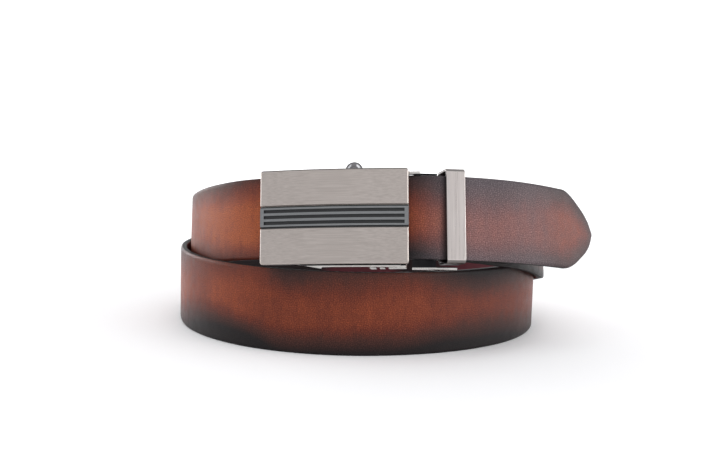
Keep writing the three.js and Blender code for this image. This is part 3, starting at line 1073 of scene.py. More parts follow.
@dataclass(frozen=True)
class PlatedMetal:
    """Zinc die casting with a plated skin, brushed with a belt or left satin or bright: a grey mirror
    whose fine strokes spread the light across them."""

    name: str
    light: str
    dark: str
    roughness: float
    spread: float
    grain: Grain
    bump: float
    cloud_mm: float = 14.0
    cloud_strength: float = 0.15
    stroke_depth: float = 0.02
    # Values of the mixed pattern that take the dark and the light tone
    tone_span: tuple[float, float] = (0.3, 0.9)
    # Detail and roughness of the noise that draws the strokes, and of the one that draws the clouds
    stroke_noise: tuple[float, float] = (3.0, 0.65)
    cloud_noise: tuple[float, float] = (2.0, 0.5)

    def build(self) -> bpy.types.Material:
        """Mix the metal.

        Returns:
            Its material.
        """
        material, tree = new_material(self.name)
        place = add_node(tree, "ShaderNodeAttribute", {"attribute_name": PLACE}).outputs["Vector"]
        stroke = Vector([1 / length for length in self.grain.value])
        strokes = add_node(tree, "ShaderNodeVectorMath", {"operation": "MULTIPLY"}, {0: place, 1: stroke})
        fine, wide = (
            add_node(
                tree,
                "ShaderNodeTexNoise",
                {},
                {"Vector": vector, "Scale": 1 / size, "Detail": detail, "Roughness": roughness},
            )
            for vector, size, detail, roughness in (
                (strokes, 1.0, *self.stroke_noise),
                (place, self.cloud_mm, *self.cloud_noise),
            )
        )
        clouded = {0: wide, 1: self.cloud_strength, 2: fine}
        mixed = add_node(tree, "ShaderNodeMath", {"operation": "MULTIPLY_ADD", "use_clamp": True}, clouded)
        tone, rough = (
            add_node(
                tree,
                "ShaderNodeMapRange",
                {"clamp": True},
                {"Value": value, "From Min": span[0], "From Max": span[1], "To Min": low, "To Max": high},
            )
            for value, span, low, high in (
                (mixed, self.tone_span, 0.0, 1.0),
                (fine, NOISE_SPAN, self.roughness - self.spread, self.roughness + self.spread),
            )
        )
        shades = {0: tone, 6: linear(self.dark), 7: linear(self.light)}
        colour = add_node(tree, "ShaderNodeMix", {"data_type": "RGBA"}, shades)
        bumps = {"Strength": self.bump, "Distance": self.stroke_depth * MM, "Height": fine}
        shader = add_node(
            tree,
            "ShaderNodeBsdfPrincipled",
            {},
            {
                "Base Color": colour.outputs[2],
                "Metallic": 1.0,
                "Roughness": rough,
                "Normal": add_node(tree, "ShaderNodeBump", {}, bumps),
            },
        )
        add_node(tree, "ShaderNodeOutputMaterial", {}, {"Surface": shader})
        return material


class Finishes:
    """All finishes of the belt, built once."""

    def __init__(self) -> None:
        """Build the materials.

        A hide or paint is given by its name, colour, deeper colour, grain in millimetres, roughness, bump
        and gloss. A metal is given by its name, light and dark tone, roughness, the roughness's spread,
        the way it was brushed, and bump.
        """
        along, upright, plain = Grain.ALONG_STRAP, Grain.UP_THE_WIDTH, Grain.NONE
        self.grain = GrainLeather().build()
        # Acrylic edge paint in several coats, sanded between: black, slightly wavy and nearly matt
        self.edge = PlainHide("edge_paint", "#171516", "#0e0d0d", 1.2, 0.6, 0.25, 0.12).build()
        # Sheepskin lining, dyed wine red: matt, with a grain too fine to see singly, drawn at 0.4 mm, and
        # with painted shade low inside the coil
        self.lining = PlainHide(
            "sheepskin_lining", "#642630", "#451a20", 0.4, 0.55, 0.4, 0.3, shade=LINING_SHADE
        ).build()
        # Strokes of brushed nickel are about 0.05 mm apart, drawn 0.28 mm apart so that they show
        self.plate = PlatedMetal("brushed_nickel", "#cac1bb", "#a9a09a", 0.33, 0.05, along, 0.3).build()
        # Painted reflection: the plate's upper rim is toned darker and smoother than its face, for the dark
        # it mirrors
        self.rim = PlatedMetal("cut_nickel_rim", "#6c6865", "#625e5c", 0.3, 0.03, plain, 0.05).build()
        # Black nickel, brushed like the plate but thinly plated, so that it stays grey and satin
        self.band = PlatedMetal("satin_black_nickel", "#8f9091", "#7d7f80", 0.36, 0.05, along, 0.2).build()
        # Baked enamel in the grooves: nearly black with a soft gloss
        self.enamel = PlainHide("black_enamel", "#1c1d1f", "#141516", 0.8, 0.4, 0.05).build()
        # Barrel-plated nickel on the rough casting: bright, cloudy and without strokes
        self.housing = PlatedMetal(
            "satin_nickel_plating", "#dcd9d5", "#c9c4bf", 0.27, 0.04, plain, 0.1
        ).build()
        # Near-black metal as painted shade on the flats of the clamp, the front above the lower rail and the
        # keeper's underside
        self.painted_shade_metal = PlatedMetal(
            "blackened_zinc", "#2c2b2d", "#1c1b1d", 0.4, 0.05, plain, 0.1
        ).build()
        # Polished chrome on the lever: a clear mirror with hardly a stroke
        self.chrome = PlatedMetal(
            "bright_chrome_plating", "#e6e6e8", "#dcdcde", 0.09, 0.02, plain, 0.03
        ).build()
        # Painted reflection: the knob's rim, top and middle are toned darker than its two bright sickles
        self.knob_painted_reflection = PlatedMetal(
            "darkened_chrome", "#7b797b", "#6b696b", 0.2, 0.03, plain, 0.03
        ).build()
        # Pale nickel, brushed up the width, with soft streaks of light along the strokes
        self.keeper = PlatedMetal(
            "brushed_pale_nickel", "#d8d0cc", "#bdb5b1", 0.32, 0.06, upright, 0.3
        ).build()
        # The keeper's edges were left unbrushed, and are toned darker as painted shade
        self.keeper_edge_shaded = PlatedMetal(
            "greyed_pale_nickel", "#8b8683", "#767270", 0.34, 0.04, plain, 0.1
        ).build()


@dataclass
class Strap:
    """The leather strap: outer grain face, painted edges and inner lining on one path."""

    coil: Coil
    finishes: Finishes
    # Degrees from station to station
    step: float = 1.5
    roll_width: float = 1.5
    roll_depth: float = 0.9
    lining_roll: float = 0.7
    roll_steps: int = 6
    # Depths in the section, measured outwards from its middle: paint lies further in than the first, and
    # lining further in than the second
    paint_below: float = 0.75
    lining_below: float = -1.35
    # Part of the half width that the rolled edge may take at the tip
    tip_roll: float = 0.6
    # Stations along the tip, and how much closer together they lie towards its nose
    tip_steps: int = 40
    tip_crowding: float = 1.7
    # Places across the flat of the section that get a point, besides one beside each roll
    flat_places: tuple[float, ...] = (10.5, 5, 0, -5, -10.5)
    # Room between the flat's last point and the roll, and in degrees beside the finely spread stations
    roll_margin: float = 0.4
    fine_margin: float = 0.2

    def turns(self) -> list[float]:
        """Spread the path's stations, closer together beside the keeper and along the tip.

        Returns:
            Their turns in degrees, in order.
        """
        tip = NOSE_TURN - TIP_TURNS
        count = round((tip - BUCKLE_END_TURN) / self.step)
        even = [BUCKLE_END_TURN + (tip - BUCKLE_END_TURN) * i / count for i in range(count)]
        steps = self.tip_steps
        shares = [(1 - i / steps) ** self.tip_crowding for i in range(steps + 1)]
        first, last, steps = FINE_TURNS
        fine = [first + (last - first) * i / steps for i in range(steps + 1)]
        margin = self.fine_margin
        outside = [turn for turn in even if not first - margin < turn < last + margin]
        return sorted(outside + fine) + [NOSE_TURN - TIP_TURNS * share for share in shares]

    def path_object(self) -> bpy.types.Object:
        """Make the path as a chain of points that carry the strap's directions and bands.

        Returns:
            The object that the tree turns to the strap.
        """
        path = self.coil.strap
        tip_curve = TableCurve(TIP_ROWS, 1)
        names = enumerate((*BAND_COLUMNS, *TONE_COLUMNS), 1)
        bands = {name: TableCurve(BURNISH_ROWS, column) for column, name in names}
        turns = self.turns()
        stations = [path.at(turn) for turn in turns]
        shift = Vector(PART_SHIFT)
        points = [(place.centre + shift) * MM for place in stations]
        lengths = [0.0]
        for before, after in zip(points, points[1:]):
            lengths.append(lengths[-1] + (after - before).length)
        back = [(NOSE_TURN - turn) / TIP_TURNS for turn in turns]
        shares = [tip_curve(share) if share < 1 else 1.0 for share in back]
        mesh = bpy.data.meshes.new("strap")
        mesh.from_pydata(points, [(i, i + 1) for i in range(len(points) - 1)], [])
        numbers = {"along": lengths, "share": shares}
        for name, curve in bands.items():
            unit = MM if name in BAND_COLUMNS else 1.0
            numbers[name] = [curve(turn) * unit for turn in turns]
        shade_turns = [row[0] for row in SHADE_ROWS]
        for column, name in enumerate(SHADE_COLUMNS, 1):
            numbers[name] = list(np.interp(turns, shade_turns, [row[column] for row in SHADE_ROWS]))
        for name, values in numbers.items():
            mesh.attributes.new(name, "FLOAT", "POINT").data.foreach_set("value", values)
        for name, values in {"out": [s.normal for s in stations], "up": [s.width for s in stations]}.items():
            flat = [value for vector in values for value in vector]
            mesh.attributes.new(name, "FLOAT_VECTOR", "POINT").data.foreach_set("vector", flat)
        return new_object("strap_leather", mesh)

    def section_object(self) -> bpy.types.Object:
        """Make the strap's cross-section: its x goes out of the coil and its y down the width.

        Returns:
            The object with the closed outline.
        """
        points: list[tuple[float, float]] = []
        corners = (
            (1, 1, self.roll_width, self.roll_depth),
            (-1, 1, self.roll_width, self.roll_depth),
            (-1, -1, self.lining_roll, self.lining_roll),
            (1, -1, self.lining_roll, self.lining_roll),
        )
        for number, (side, face, wide, deep) in enumerate(corners):
            steps = range(self.roll_steps + 1)
            angles = [math.pi / 2 * i / self.roll_steps for i in steps]
            if side * face < 0:
                angles.reverse()
            for angle in angles:
                x = side * (HALF_WIDTH - wide + wide * math.cos(angle))
                y = face * (HALF_THICKNESS - deep + deep * math.sin(angle))
                points.append((x, y))
            if number in (0, 2):
                last = HALF_WIDTH - wide - self.roll_margin
                inner = (last, *self.flat_places, -last)
                points.extend((side * x, face * HALF_THICKNESS) for x in inner)
        mesh = bpy.data.meshes.new("strap_section")
        count = len(points)
        mesh.from_pydata(
            [(out * MM, -across * MM, 0) for across, out in points],
            [(i, (i + 1) % count) for i in range(count)],
            [],
        )
        return new_object("strap_section", mesh)

    def tree(self) -> bpy.types.NodeTree:
        """Build the tree that sweeps the cross-section along the path and narrows the tip.

        Returns:
            The tree, with the section's sizes and the finishes as inputs.
        """
        lengths = ("Half Width", "Edge Roll", "Paint Below", "Lining Below")
        tree = new_tree(
            "strap_along_path",
            {
                "Cross Section": "NodeSocketObject",
                **dict.fromkeys(lengths, "NodeSocketFloat"),
                **dict.fromkeys(("Grain Leather", "Edge Paint", "Lining"), "NodeSocketMaterial"),
            },
        )
        inlet = add_node(tree, "NodeGroupInput").outputs
        kinds = {
            **dict.fromkeys(("along", "share", *BAND_COLUMNS), "FLOAT"),
            **dict.fromkeys(("out", "up", "section"), "FLOAT_VECTOR"),
        }
        parts: dict[object, object] = {name: inlet[name] for name in lengths}
        for name, kind in kinds.items():
            settings = {"data_type": kind}
            parts[name] = add_node(tree, "GeometryNodeInputNamedAttribute", settings, {"Name": name})
        section = add_node(tree, "GeometryNodeObjectInfo", {}, {"Object": inlet["Cross Section"]})
        ring = add_node(tree, "GeometryNodeMeshToCurve", {}, {"Mesh": section.outputs["Geometry"]})
        marked = add_node(
            tree,
            "GeometryNodeStoreNamedAttribute",
            {"data_type": "FLOAT_VECTOR", "domain": "POINT"},
            {"Geometry": ring, "Name": "section", "Value": add_node(tree, "GeometryNodeInputPosition")},
        )
        line = add_node(tree, "GeometryNodeMeshToCurve", {}, {"Mesh": inlet["Geometry"]})
        normals = {"Curve": line, "Normal": parts["out"]}
        turned = add_node(tree, "GeometryNodeSetCurveNormal", {"mode": "FREE"}, normals)
        profile = {"Curve": turned, "Profile Curve": marked, "Fill Caps": True}
        swept = add_node(tree, "GeometryNodeCurveToMesh", {}, profile)
        in_section = add_node(tree, "ShaderNodeSeparateXYZ", {}, {"Vector": parts["section"]}).outputs
        parts["down"] = in_section["Y"]
        # The flat middle narrows towards the tip while the rolled edges keep their width
        for name, operation, *values in (
            ("before", "MULTIPLY", "down", -1.0),
            ("limit", "MULTIPLY", "Half Width", "share"),
            ("small", "MULTIPLY", "limit", self.tip_roll),
            ("roll", "MINIMUM", "Edge Roll", "small"),
            ("flat", "SUBTRACT", "Half Width", "Edge Roll"),
            ("room", "SUBTRACT", "limit", "roll"),
            ("away", "ABSOLUTE", "before"),
            ("side", "SIGN", "before"),
        ):
            fed = {place: parts.get(value, value) for place, value in enumerate(values)}
            parts[name] = add_node(tree, "ShaderNodeMath", {"operation": operation}, fed)
        for name, low, high, full in (
            ("inner", 0.0, "flat", "room"),
            ("outer", "flat", "Half Width", "roll"),
        ):
            ends = {"From Min": parts.get(low, low), "From Max": parts[high], "To Max": parts[full]}
            away = {"Value": parts["away"], **ends}
            parts[name] = add_node(tree, "ShaderNodeMapRange", {"clamp": True}, away)
        for name, operation, *values in (
            ("reach", "ADD", "inner", "outer"),
            ("across", "MULTIPLY", "side", "reach"),
            ("moved", "SUBTRACT", "across", "before"),
            ("under_top", "SUBTRACT", "limit", "across"),
            ("over_foot", "ADD", "limit", "across"),
        ):
            fed = {place: parts.get(value, value) for place, value in enumerate(values)}
            parts[name] = add_node(tree, "ShaderNodeMath", {"operation": operation}, fed)
        shift = {0: parts["up"], "Scale": parts["moved"]}
        offset = add_node(tree, "ShaderNodeVectorMath", {"operation": "SCALE"}, shift)
        shares = {}
        for axis, edge, distance in (("X", "upper", "under_top"), ("Y", "lower", "over_foot")):
            ends = {"From Min": parts[f"{edge}_start"], "From Max": parts[f"{edge}_full"]}
            away = {"Value": parts[distance], **ends}
            shares[axis] = add_node(tree, "ShaderNodeMapRange", {"clamp": False}, away)
        dressed = swept
        for name, place in ((STRAP_UV, {"X": parts["along"], "Y": parts["across"]}), (BURNISH_UV, shares)):
            value = add_node(tree, "ShaderNodeCombineXYZ", {}, place)
            dressed = add_node(
                tree,
                "GeometryNodeStoreNamedAttribute",
                {"data_type": "FLOAT2", "domain": "CORNER"},
                {"Geometry": dressed, "Name": name, "Value": value},
            )
        for label, limit in (
            ("Grain Leather", None),
            ("Edge Paint", "Paint Below"),
            ("Lining", "Lining Below"),
        ):
            chosen = True
            if limit:
                below = {"A": in_section["X"], "B": inlet[limit]}
                settings = {"data_type": "FLOAT", "operation": "LESS_THAN"}
                chosen = add_node(tree, "FunctionNodeCompare", settings, below)
            dress = {"Geometry": dressed, "Selection": chosen, "Material": inlet[label]}
            dressed = add_node(tree, "GeometryNodeSetMaterial", {}, dress)
        narrowed = add_node(tree, "GeometryNodeSetPosition", {}, {"Geometry": dressed, "Offset": offset})
        real = add_node(tree, "GeometryNodeRealizeInstances", {}, {"Geometry": narrowed})
        add_node(tree, "NodeGroupOutput", {}, {"Geometry": real})
        return tree

    def build(self) -> None:
        """Make the strap and let it stand for the CAD strap."""
        piece = self.path_object()
        section = self.section_object()
        run_tree(
            piece,
            self.tree(),
            {
                "Cross Section": section,
                "Half Width": HALF_WIDTH * MM,
                "Edge Roll": self.roll_width * MM,
                "Paint Below": self.paint_below * MM,
                "Lining Below": self.lining_below * MM,
                "Grain Leather": self.finishes.grain,
                "Edge Paint": self.finishes.edge,
                "Lining": self.finishes.lining,
            },
        )
        bpy.data.objects.remove(section)
        for name in ("out", "up", "section", "along", "share", *BAND_COLUMNS):
            attribute = piece.data.attributes.get(name)
            if attribute is not None:
                piece.data.attributes.remove(attribute)
        finish_piece(piece, BELT_BODY, ["strap"])


@dataclass
class Buckle:
    """Face plate, inlay band and housing, in a frame with x along the strap and y into the coil."""

    coil: Coil
    finishes: Finishes
    frame: dict[str, object]
    width: float = 62.5
    height: float = 39.7
    thickness: float = 2.0
    bevel: float = 0.5
    corner: float = 1.1
    bow: float = 2.3
    shift: float = -2.7
    back: float = 3.2
    band_height: float = 9.2
    band_slot: float = 1.2
    band_sunk: float = 0.15
    band_gap: float = 0.3
    groove_count: int = 3
    groove_pitch: float = 2.47
    groove_height: float = 1.4
    groove_depth: float = 0.7
    groove_margin: float = 1.6
    edge_line: float = 0.65
    # The cutters of the edge lines are this much longer than the band
    line_reach: float = 1.1
    # Heights in the buckle's frame between which the housing's front takes painted shade
    front_shade_heights: tuple[float, float] = (-20.35, -17.0)
    stops: int = 48
    corner_steps: int = 6
    rim_steps: int = 3
    # Rounding of the plate's other edges, as a share of the rim's
    plain_edge: float = 0.2
    # The rim's faces whose normal points up at least this far keep the darker rim metal, a painted
    # reflection
    dark_rim_from: float = 0.2

    @property
    def left(self) -> float:
        """Left end of the plate."""
        return self.shift - self.width / 2

    @property
    def right(self) -> float:
        """Right end of the plate."""
        return self.shift + self.width / 2

    def bow_at(self, x: float) -> float:
        """Return how far the plate's back lies behind its middle's back."""
        return self.bow * ((2 * (x - self.shift)) / self.width) ** 2

    def bend(self, shell: bmesh.types.BMesh) -> None:
        """Cut a straight plate across at even stops and bend it to the bow.

        Args:
            shell: Mesh open for editing.
        """
        for i in range(1, self.stops):
            cut_across(shell, ((self.left + self.width * i / self.stops) * MM, 0, 0), (1, 0, 0))
        for vertex in shell.verts:
            vertex.co.y += self.bow_at(vertex.co.x / MM) * MM

    def plate_section(self) -> list[tuple[float, float]]:
        """Lay out the plate's section, with the band's slot in its face.

        Returns:
            Depths and heights of its corners, the first on the face.
        """
        rear = -self.back - self.bow
        face = rear - self.thickness
        floor = face + self.band_slot + self.band_gap
        slot = self.band_height / 2 + self.band_gap
        top = self.height / 2
        return [
            (face, top),
            (face, slot),
            (floor, slot),
            (floor, -slot),
            (face, -slot),
            (face, -top),
            (rear, -top),
            (rear, top),
        ]

    def is_corner(self, edge: bmesh.types.BMEdge) -> bool:
        """Say whether an edge joins face and back at one of the plate's four corners.

        Args:
            edge: Edge of the straight plate.

        Returns:
            True for those four edges.
        """
        first, second = (vertex.co for vertex in edge.verts)
        straight = abs(first.x - second.x) < NEAR and abs(first.z - second.z) < NEAR
        at_end = min(abs(first.x - end * MM) for end in (self.left, self.right)) < NEAR
        return straight and at_end and abs(abs(first.z) - self.height / 2 * MM) < NEAR

    def make_plate(self) -> None:
        """Make the bowed face plate with its rounded rim."""
        section = self.plate_section()
        count = len(section)
        points = [(x, y, z) for x in (self.left, self.right) for y, z in section]
        sides = [(i, (i + 1) % count, count + (i + 1) % count, count + i) for i in range(count)]
        mesh = mesh_from("face_plate", points, [*sides, range(count), range(count, 2 * count)])
        face_depth = section[0][0] * MM
        slot = (self.band_height / 2 + self.band_gap) * MM
        with opened(mesh) as shell:
            corner_edges = [edge for edge in shell.edges if self.is_corner(edge)]
            rounding = {"offset": self.corner * MM, "segments": self.corner_steps, "profile": 0.5}
            bmesh.ops.bevel(shell, geom=corner_edges, affect="EDGES", **rounding)
            weights = shell.edges.layers.float.new("bevel_weight_edge")
            for edge in shell.edges:
                if edge.calc_face_angle(0) < CREASE:
                    continue
                on_face = all(abs(v.co.y - face_depth) < NEAR for v in edge.verts)
                in_slot = all(abs(abs(v.co.z) - slot) < NEAR for v in edge.verts)
                edge[weights] = 1.0 if on_face and not in_slot else self.plain_edge
        mesh.materials.append(self.finishes.plate)
        mesh.materials.append(self.finishes.rim)
        piece = new_object("face_plate_dressed", mesh)
        rim = piece.modifiers.new("rim", "BEVEL")
        rim.limit_method = "WEIGHT"
        rim.width = self.bevel * MM
        rim.segments = self.rim_steps
        rim.material = 1
        bake_modifiers(piece)
        # Only the rim's upward faces keep the darker metal, as a painted reflection
        for face in piece.data.polygons:
            if face.normal.z < self.dark_rim_from:
                face.material_index = 0
        with opened(piece.data) as shell:
            self.bend(shell)
        even_shading(piece)
        place_piece(piece, self.coil.buckle_frame(), self.finishes.plate)
        finish_piece(piece, BELT_BODY, ["face_plate"])

    def band_tree(self) -> bpy.types.NodeTree:
        """Build the tree of the inlay band: a bar, repeated grooves, edge lines and the bow.

        Returns:
            The tree, with the band's sizes and the finishes as inputs.
        """
        lengths = ("Length", "Height", "Depth", "Groove Pitch", "Groove Height", "Groove Depth")
        lengths = (*lengths, "Groove Margin", "Edge Line", "Bow")
        tree = new_tree(
            "grooved_band",
            {
                **dict.fromkeys(lengths, "NodeSocketFloat"),
                **dict.fromkeys(("Stops", "Groove Count"), "NodeSocketInt"),
                **dict.fromkeys(("Metal", "Enamel"), "NodeSocketMaterial"),
            },
        )
        inlet = add_node(tree, "NodeGroupInput").outputs
        here = add_node(tree, "GeometryNodeInputPosition")
        parts: dict[object, object] = {name: inlet[name] for name in (*lengths, "Groove Count")}
        parts["x"] = add_node(tree, "ShaderNodeSeparateXYZ", {}, {"Vector": here}).outputs["X"]
        for name, operation, *values in (
            ("groove", "MULTIPLY_ADD", "Groove Margin", -2.0, "Length"),
            ("cut", "MULTIPLY", "Groove Depth", 2.0),
            ("whole", "MULTIPLY", "Length", self.line_reach),
            ("line", "MULTIPLY", "Edge Line", 2.0),
            ("face", "MULTIPLY", "Depth", -0.5),
            ("gaps", "SUBTRACT", "Groove Count", 1.0),
            ("span", "MULTIPLY", "gaps", "Groove Pitch"),
            ("low_groove", "MULTIPLY", "span", -0.5),
            ("low_edge", "MULTIPLY", "Height", -0.5),
            ("twice", "MULTIPLY", "x", 2.0),
            ("share", "DIVIDE", "twice", "Length"),
            ("square", "MULTIPLY", "share", "share"),
            ("bowed", "MULTIPLY", "square", "Bow"),
        ):
            fed = {place: parts.get(value, value) for place, value in enumerate(values)}
            parts[name] = add_node(tree, "ShaderNodeMath", {"operation": operation}, fed)
        bars = []
        for length, depth, height, label in (
            ("Length", "Depth", "Height", "Metal"),
            ("groove", "cut", "Groove Height", "Enamel"),
            ("whole", "cut", "line", "Enamel"),
        ):
            spans = {"X": parts[length], "Y": parts[depth], "Z": parts[height]}
            size = add_node(tree, "ShaderNodeCombineXYZ", {}, spans)
            bar = add_node(tree, "GeometryNodeMeshCube", {}, {"Size": size, "Vertices X": inlet["Stops"]})
            dress = {"Geometry": bar, "Material": inlet[label]}
            bars.append(add_node(tree, "GeometryNodeSetMaterial", {}, dress))
        body, *cutters = bars
        joined = add_node(tree, "GeometryNodeJoinGeometry")
        rows = (("Groove Count", "low_groove", "Groove Pitch"), (2, "low_edge", "Height"))
        for cutter, (count, low, step) in zip(cutters, rows):
            start = add_node(tree, "ShaderNodeCombineXYZ", {}, {"Y": parts["face"], "Z": parts[low]})
            stride = add_node(tree, "ShaderNodeCombineXYZ", {}, {"Z": parts[step]})
            line = {"Count": parts.get(count, count), "Start Location": start, "Offset": stride}
            places = add_node(tree, "GeometryNodeMeshLine", {"mode": "OFFSET"}, line)
            copies = {"Points": places, "Instance": cutter}
            row = add_node(tree, "GeometryNodeInstanceOnPoints", {}, copies)
            tree.links.new(row.outputs["Instances"], joined.inputs["Geometry"])
        loose = add_node(tree, "GeometryNodeRealizeInstances", {}, {"Geometry": joined})
        carving = {"Mesh 1": body, "Mesh 2": loose}
        how = {"operation": "DIFFERENCE", "solver": "EXACT"}
        carved = add_node(tree, "GeometryNodeMeshBoolean", how, carving)
        offset = add_node(tree, "ShaderNodeCombineXYZ", {}, {"Y": parts["bowed"]})
        bent = add_node(tree, "GeometryNodeSetPosition", {}, {"Geometry": carved, "Offset": offset})
        real = add_node(tree, "GeometryNodeRealizeInstances", {}, {"Geometry": bent})
        add_node(tree, "NodeGroupOutput", {}, {"Geometry": real})
        return tree

    def make_band(self) -> None:
        """Make the grooved band that is let into the plate."""
        piece = new_object("inlay_band_dressed", bpy.data.meshes.new("inlay_band"))
        depth = self.band_slot - self.band_sunk
        run_tree(
            piece,
            self.band_tree(),
            {
                "Length": self.width * MM,
                "Height": self.band_height * MM,
                "Depth": depth * MM,
                "Stops": self.stops + 1,
                "Groove Count": self.groove_count,
                "Groove Pitch": self.groove_pitch * MM,
                "Groove Height": self.groove_height * MM,
                "Groove Depth": self.groove_depth * MM,
                "Groove Margin": self.groove_margin * MM,
                "Edge Line": self.edge_line * MM,
                "Bow": self.bow * MM,
                "Metal": self.finishes.band,
                "Enamel": self.finishes.enamel,
            },
        )
        face = -self.back - self.bow - self.thickness + self.band_sunk
        piece.data.transform(Matrix.Translation(Vector((self.shift, face + depth / 2, 0)) * MM))
        piece.data.shade_smooth()
        piece.data.set_sharp_from_angle(angle=CREASE)
        place_piece(piece, self.coil.buckle_frame(), self.finishes.band)
        finish_piece(piece, BELT_BODY, ["inlay_band"])

    def make_housing(self) -> None:
        """Dress a copy of the housing with rounded edges and painted shade on its front above its lower lip.
        """
        piece = cleaned_copy(self.frame["nodes"]["buckle_frame"], "buckle_housing")
        soften(piece)
        dress_copy(piece, self.coil.buckle_frame(), self.finishes.housing)
        paint_front_shade(piece, self.coil.buckle_frame(), self.finishes.painted_shade_metal, self.front_shade_heights)
        finish_piece(piece, BELT_BODY, ["buckle_frame"])

    def build(self) -> None:
        """Make the plate, the band and the housing."""
        self.make_plate()
        self.make_band()
        self.make_housing()


@dataclass
class ReleaseLever:
    """The lever behind the housing that lets the tail go, with its thumb knob."""

    coil: Coil
    finishes: Finishes
    pin_x: float = -9.0
    pin_y: float = 5.4
    shaft: float = 1.05
    shaft_reach: float = 12.1
    right: float = 9.5
    half_height: float = 9.0
    thickness: float = 1.4
    pawl: tuple[float, float, float] = (2.2, 5.6, 9.0)
    pawl_front: float = 1.85
    knob_x: float = 4.4
    knob_z: float = 20.8
    knob_radius: float = 3.85
    knob_thickness: float = 2.2
    # The knob keeps bright chrome on two sickles, given by their band of radii and how far aside they lie
    bright_ring: tuple[float, float] = (0.56, 0.8)
    bright_aside: float = 0.3
    arm_width: float = 4.4
    shaft_sides: int = 32
    knob_sides: int = 64
    # The pawl and the arm end this far inside the plate's faces, so that they unite cleanly
    pawl_inset: float = 0.2
    arm_inset: float = 0.01
    # The knob's rim. Columns: distance in from its edge, height over its back
    rim_rows: tuple[tuple[float, float], ...] = (
        (0.3, 0),
        (0.08, 0.1),
        (0, 0.32),
        (0, 0.95),
        (0.1, 1.15),
        (0.32, 1.25),
        (0.62, 1.22),
        (0.8, 1.28),
    )
    # The knob's dome. Columns: share of its radius, height over its back
    dome_rows: tuple[tuple[float, float], ...] = ((0.72, 1.62), (0.56, 1.9), (0.36, 2.1), (0.16, 2.18))
    # The knob's back, whose faces' normal has a y above this, is left bright
    back_from: float = 0.5

    def make_lever(self) -> None:
        """Make the shaft, the plate, the pawl and the knob's arm as one solid."""
        front = self.pin_y - self.thickness / 2
        rear = front + self.thickness
        half_arm = self.arm_width / 2
        pawl_left, pawl_right, pawl_height = self.pawl
        depths = (front, rear)
        plate = [(self.pin_x, self.right), depths, (-self.half_height, self.half_height)]
        piece = new_object("release_lever_dressed", box_mesh("lever_plate", plate))
        radius, reach = self.shaft, self.shaft_reach
        profile = [(0, -reach), (radius, -reach), (radius, reach), (0, reach)]
        shaft = turned_mesh("lever_shaft", profile, self.shaft_sides, 2)
        shaft.transform(Matrix.Translation(Vector((self.pin_x, self.pin_y, 0)) * MM))
        depths = (self.pawl_front, rear - self.pawl_inset)
        pawl = box_mesh("lever_pawl", [(pawl_left, pawl_right), depths, (-pawl_height / 2, pawl_height / 2)])
        depths = (front + self.arm_inset, rear - self.arm_inset)
        widths = (self.knob_x - half_arm, self.knob_x + half_arm)
        arm = box_mesh("lever_arm", [widths, depths, (0, self.knob_z)])
        join_solids(piece, [shaft, pawl, arm])
        soften(piece)
        place_piece(piece, self.coil.buckle_frame(), self.finishes.chrome)
        finish_piece(piece, LEVER_BODY, ["release_lever"])

    def make_knob(self) -> None:
        """Turn the thumb knob: a stepped dome that faces the wearer's thumb."""
        radius = self.knob_radius
        rim = [(radius - inward, height) for inward, height in self.rim_rows]
        dome = [(radius * share, height) for share, height in self.dome_rows]
        profile = [(0, 0), *rim, *dome, (0, self.knob_thickness)]
        mesh = turned_mesh("lever_knob", profile, self.knob_sides, 1)
        rear = self.pin_y + self.thickness / 2
        flip = Matrix.Rotation(math.pi, 4, "X")
        mesh.transform(Matrix.Translation(Vector((self.knob_x, rear, self.knob_z)) * MM) @ flip)
        mesh.materials.append(self.finishes.chrome)
        mesh.materials.append(self.finishes.knob_painted_reflection)
        # Painted reflection: faces off the sickles and off the back take the darker chrome
        for face in mesh.polygons:
            aside = abs(face.center.x / MM - self.knob_x) / radius
            away = math.hypot(aside, (face.center.z / MM - self.knob_z) / radius)
            on_sickle = self.bright_ring[0] < away < self.bright_ring[1] and aside > self.bright_aside
            on_back = face.normal.y > self.back_from
            face.material_index = 0 if on_sickle or on_back else 1
        piece = new_object("lever_knob_dressed", mesh)
        even_shading(piece)
        place_piece(piece, self.coil.buckle_frame(), self.finishes.chrome)
        finish_piece(piece, LEVER_BODY, [])

    def build(self) -> None:
        """Make the lever and its knob."""
        self.make_lever()
        self.make_knob()


@dataclass
class StrapClamp:
    """The clamp that grips the strap's buckle end, with its pin."""

    coil: Coil
    finishes: Finishes
    frame: dict[str, object]
    # Heights in the buckle's frame between which the clamp's front takes painted shade
    dark_heights: tuple[float, float] = (-21.0, 19.0)

    def build(self) -> None:
        """Dress a copy of the clamp with bright rounded edges and painted shade on its flats."""
        piece = cleaned_copy(self.frame["nodes"]["strap_clamp"], "strap_clamp_dressed")
        soften(piece)
        dress_copy(piece, self.coil.buckle_frame(), self.finishes.housing)
        paint_front_shade(piece, self.coil.buckle_frame(), self.finishes.painted_shade_metal, self.dark_heights)
        finish_piece(piece, BELT_BODY, ["strap_clamp"])


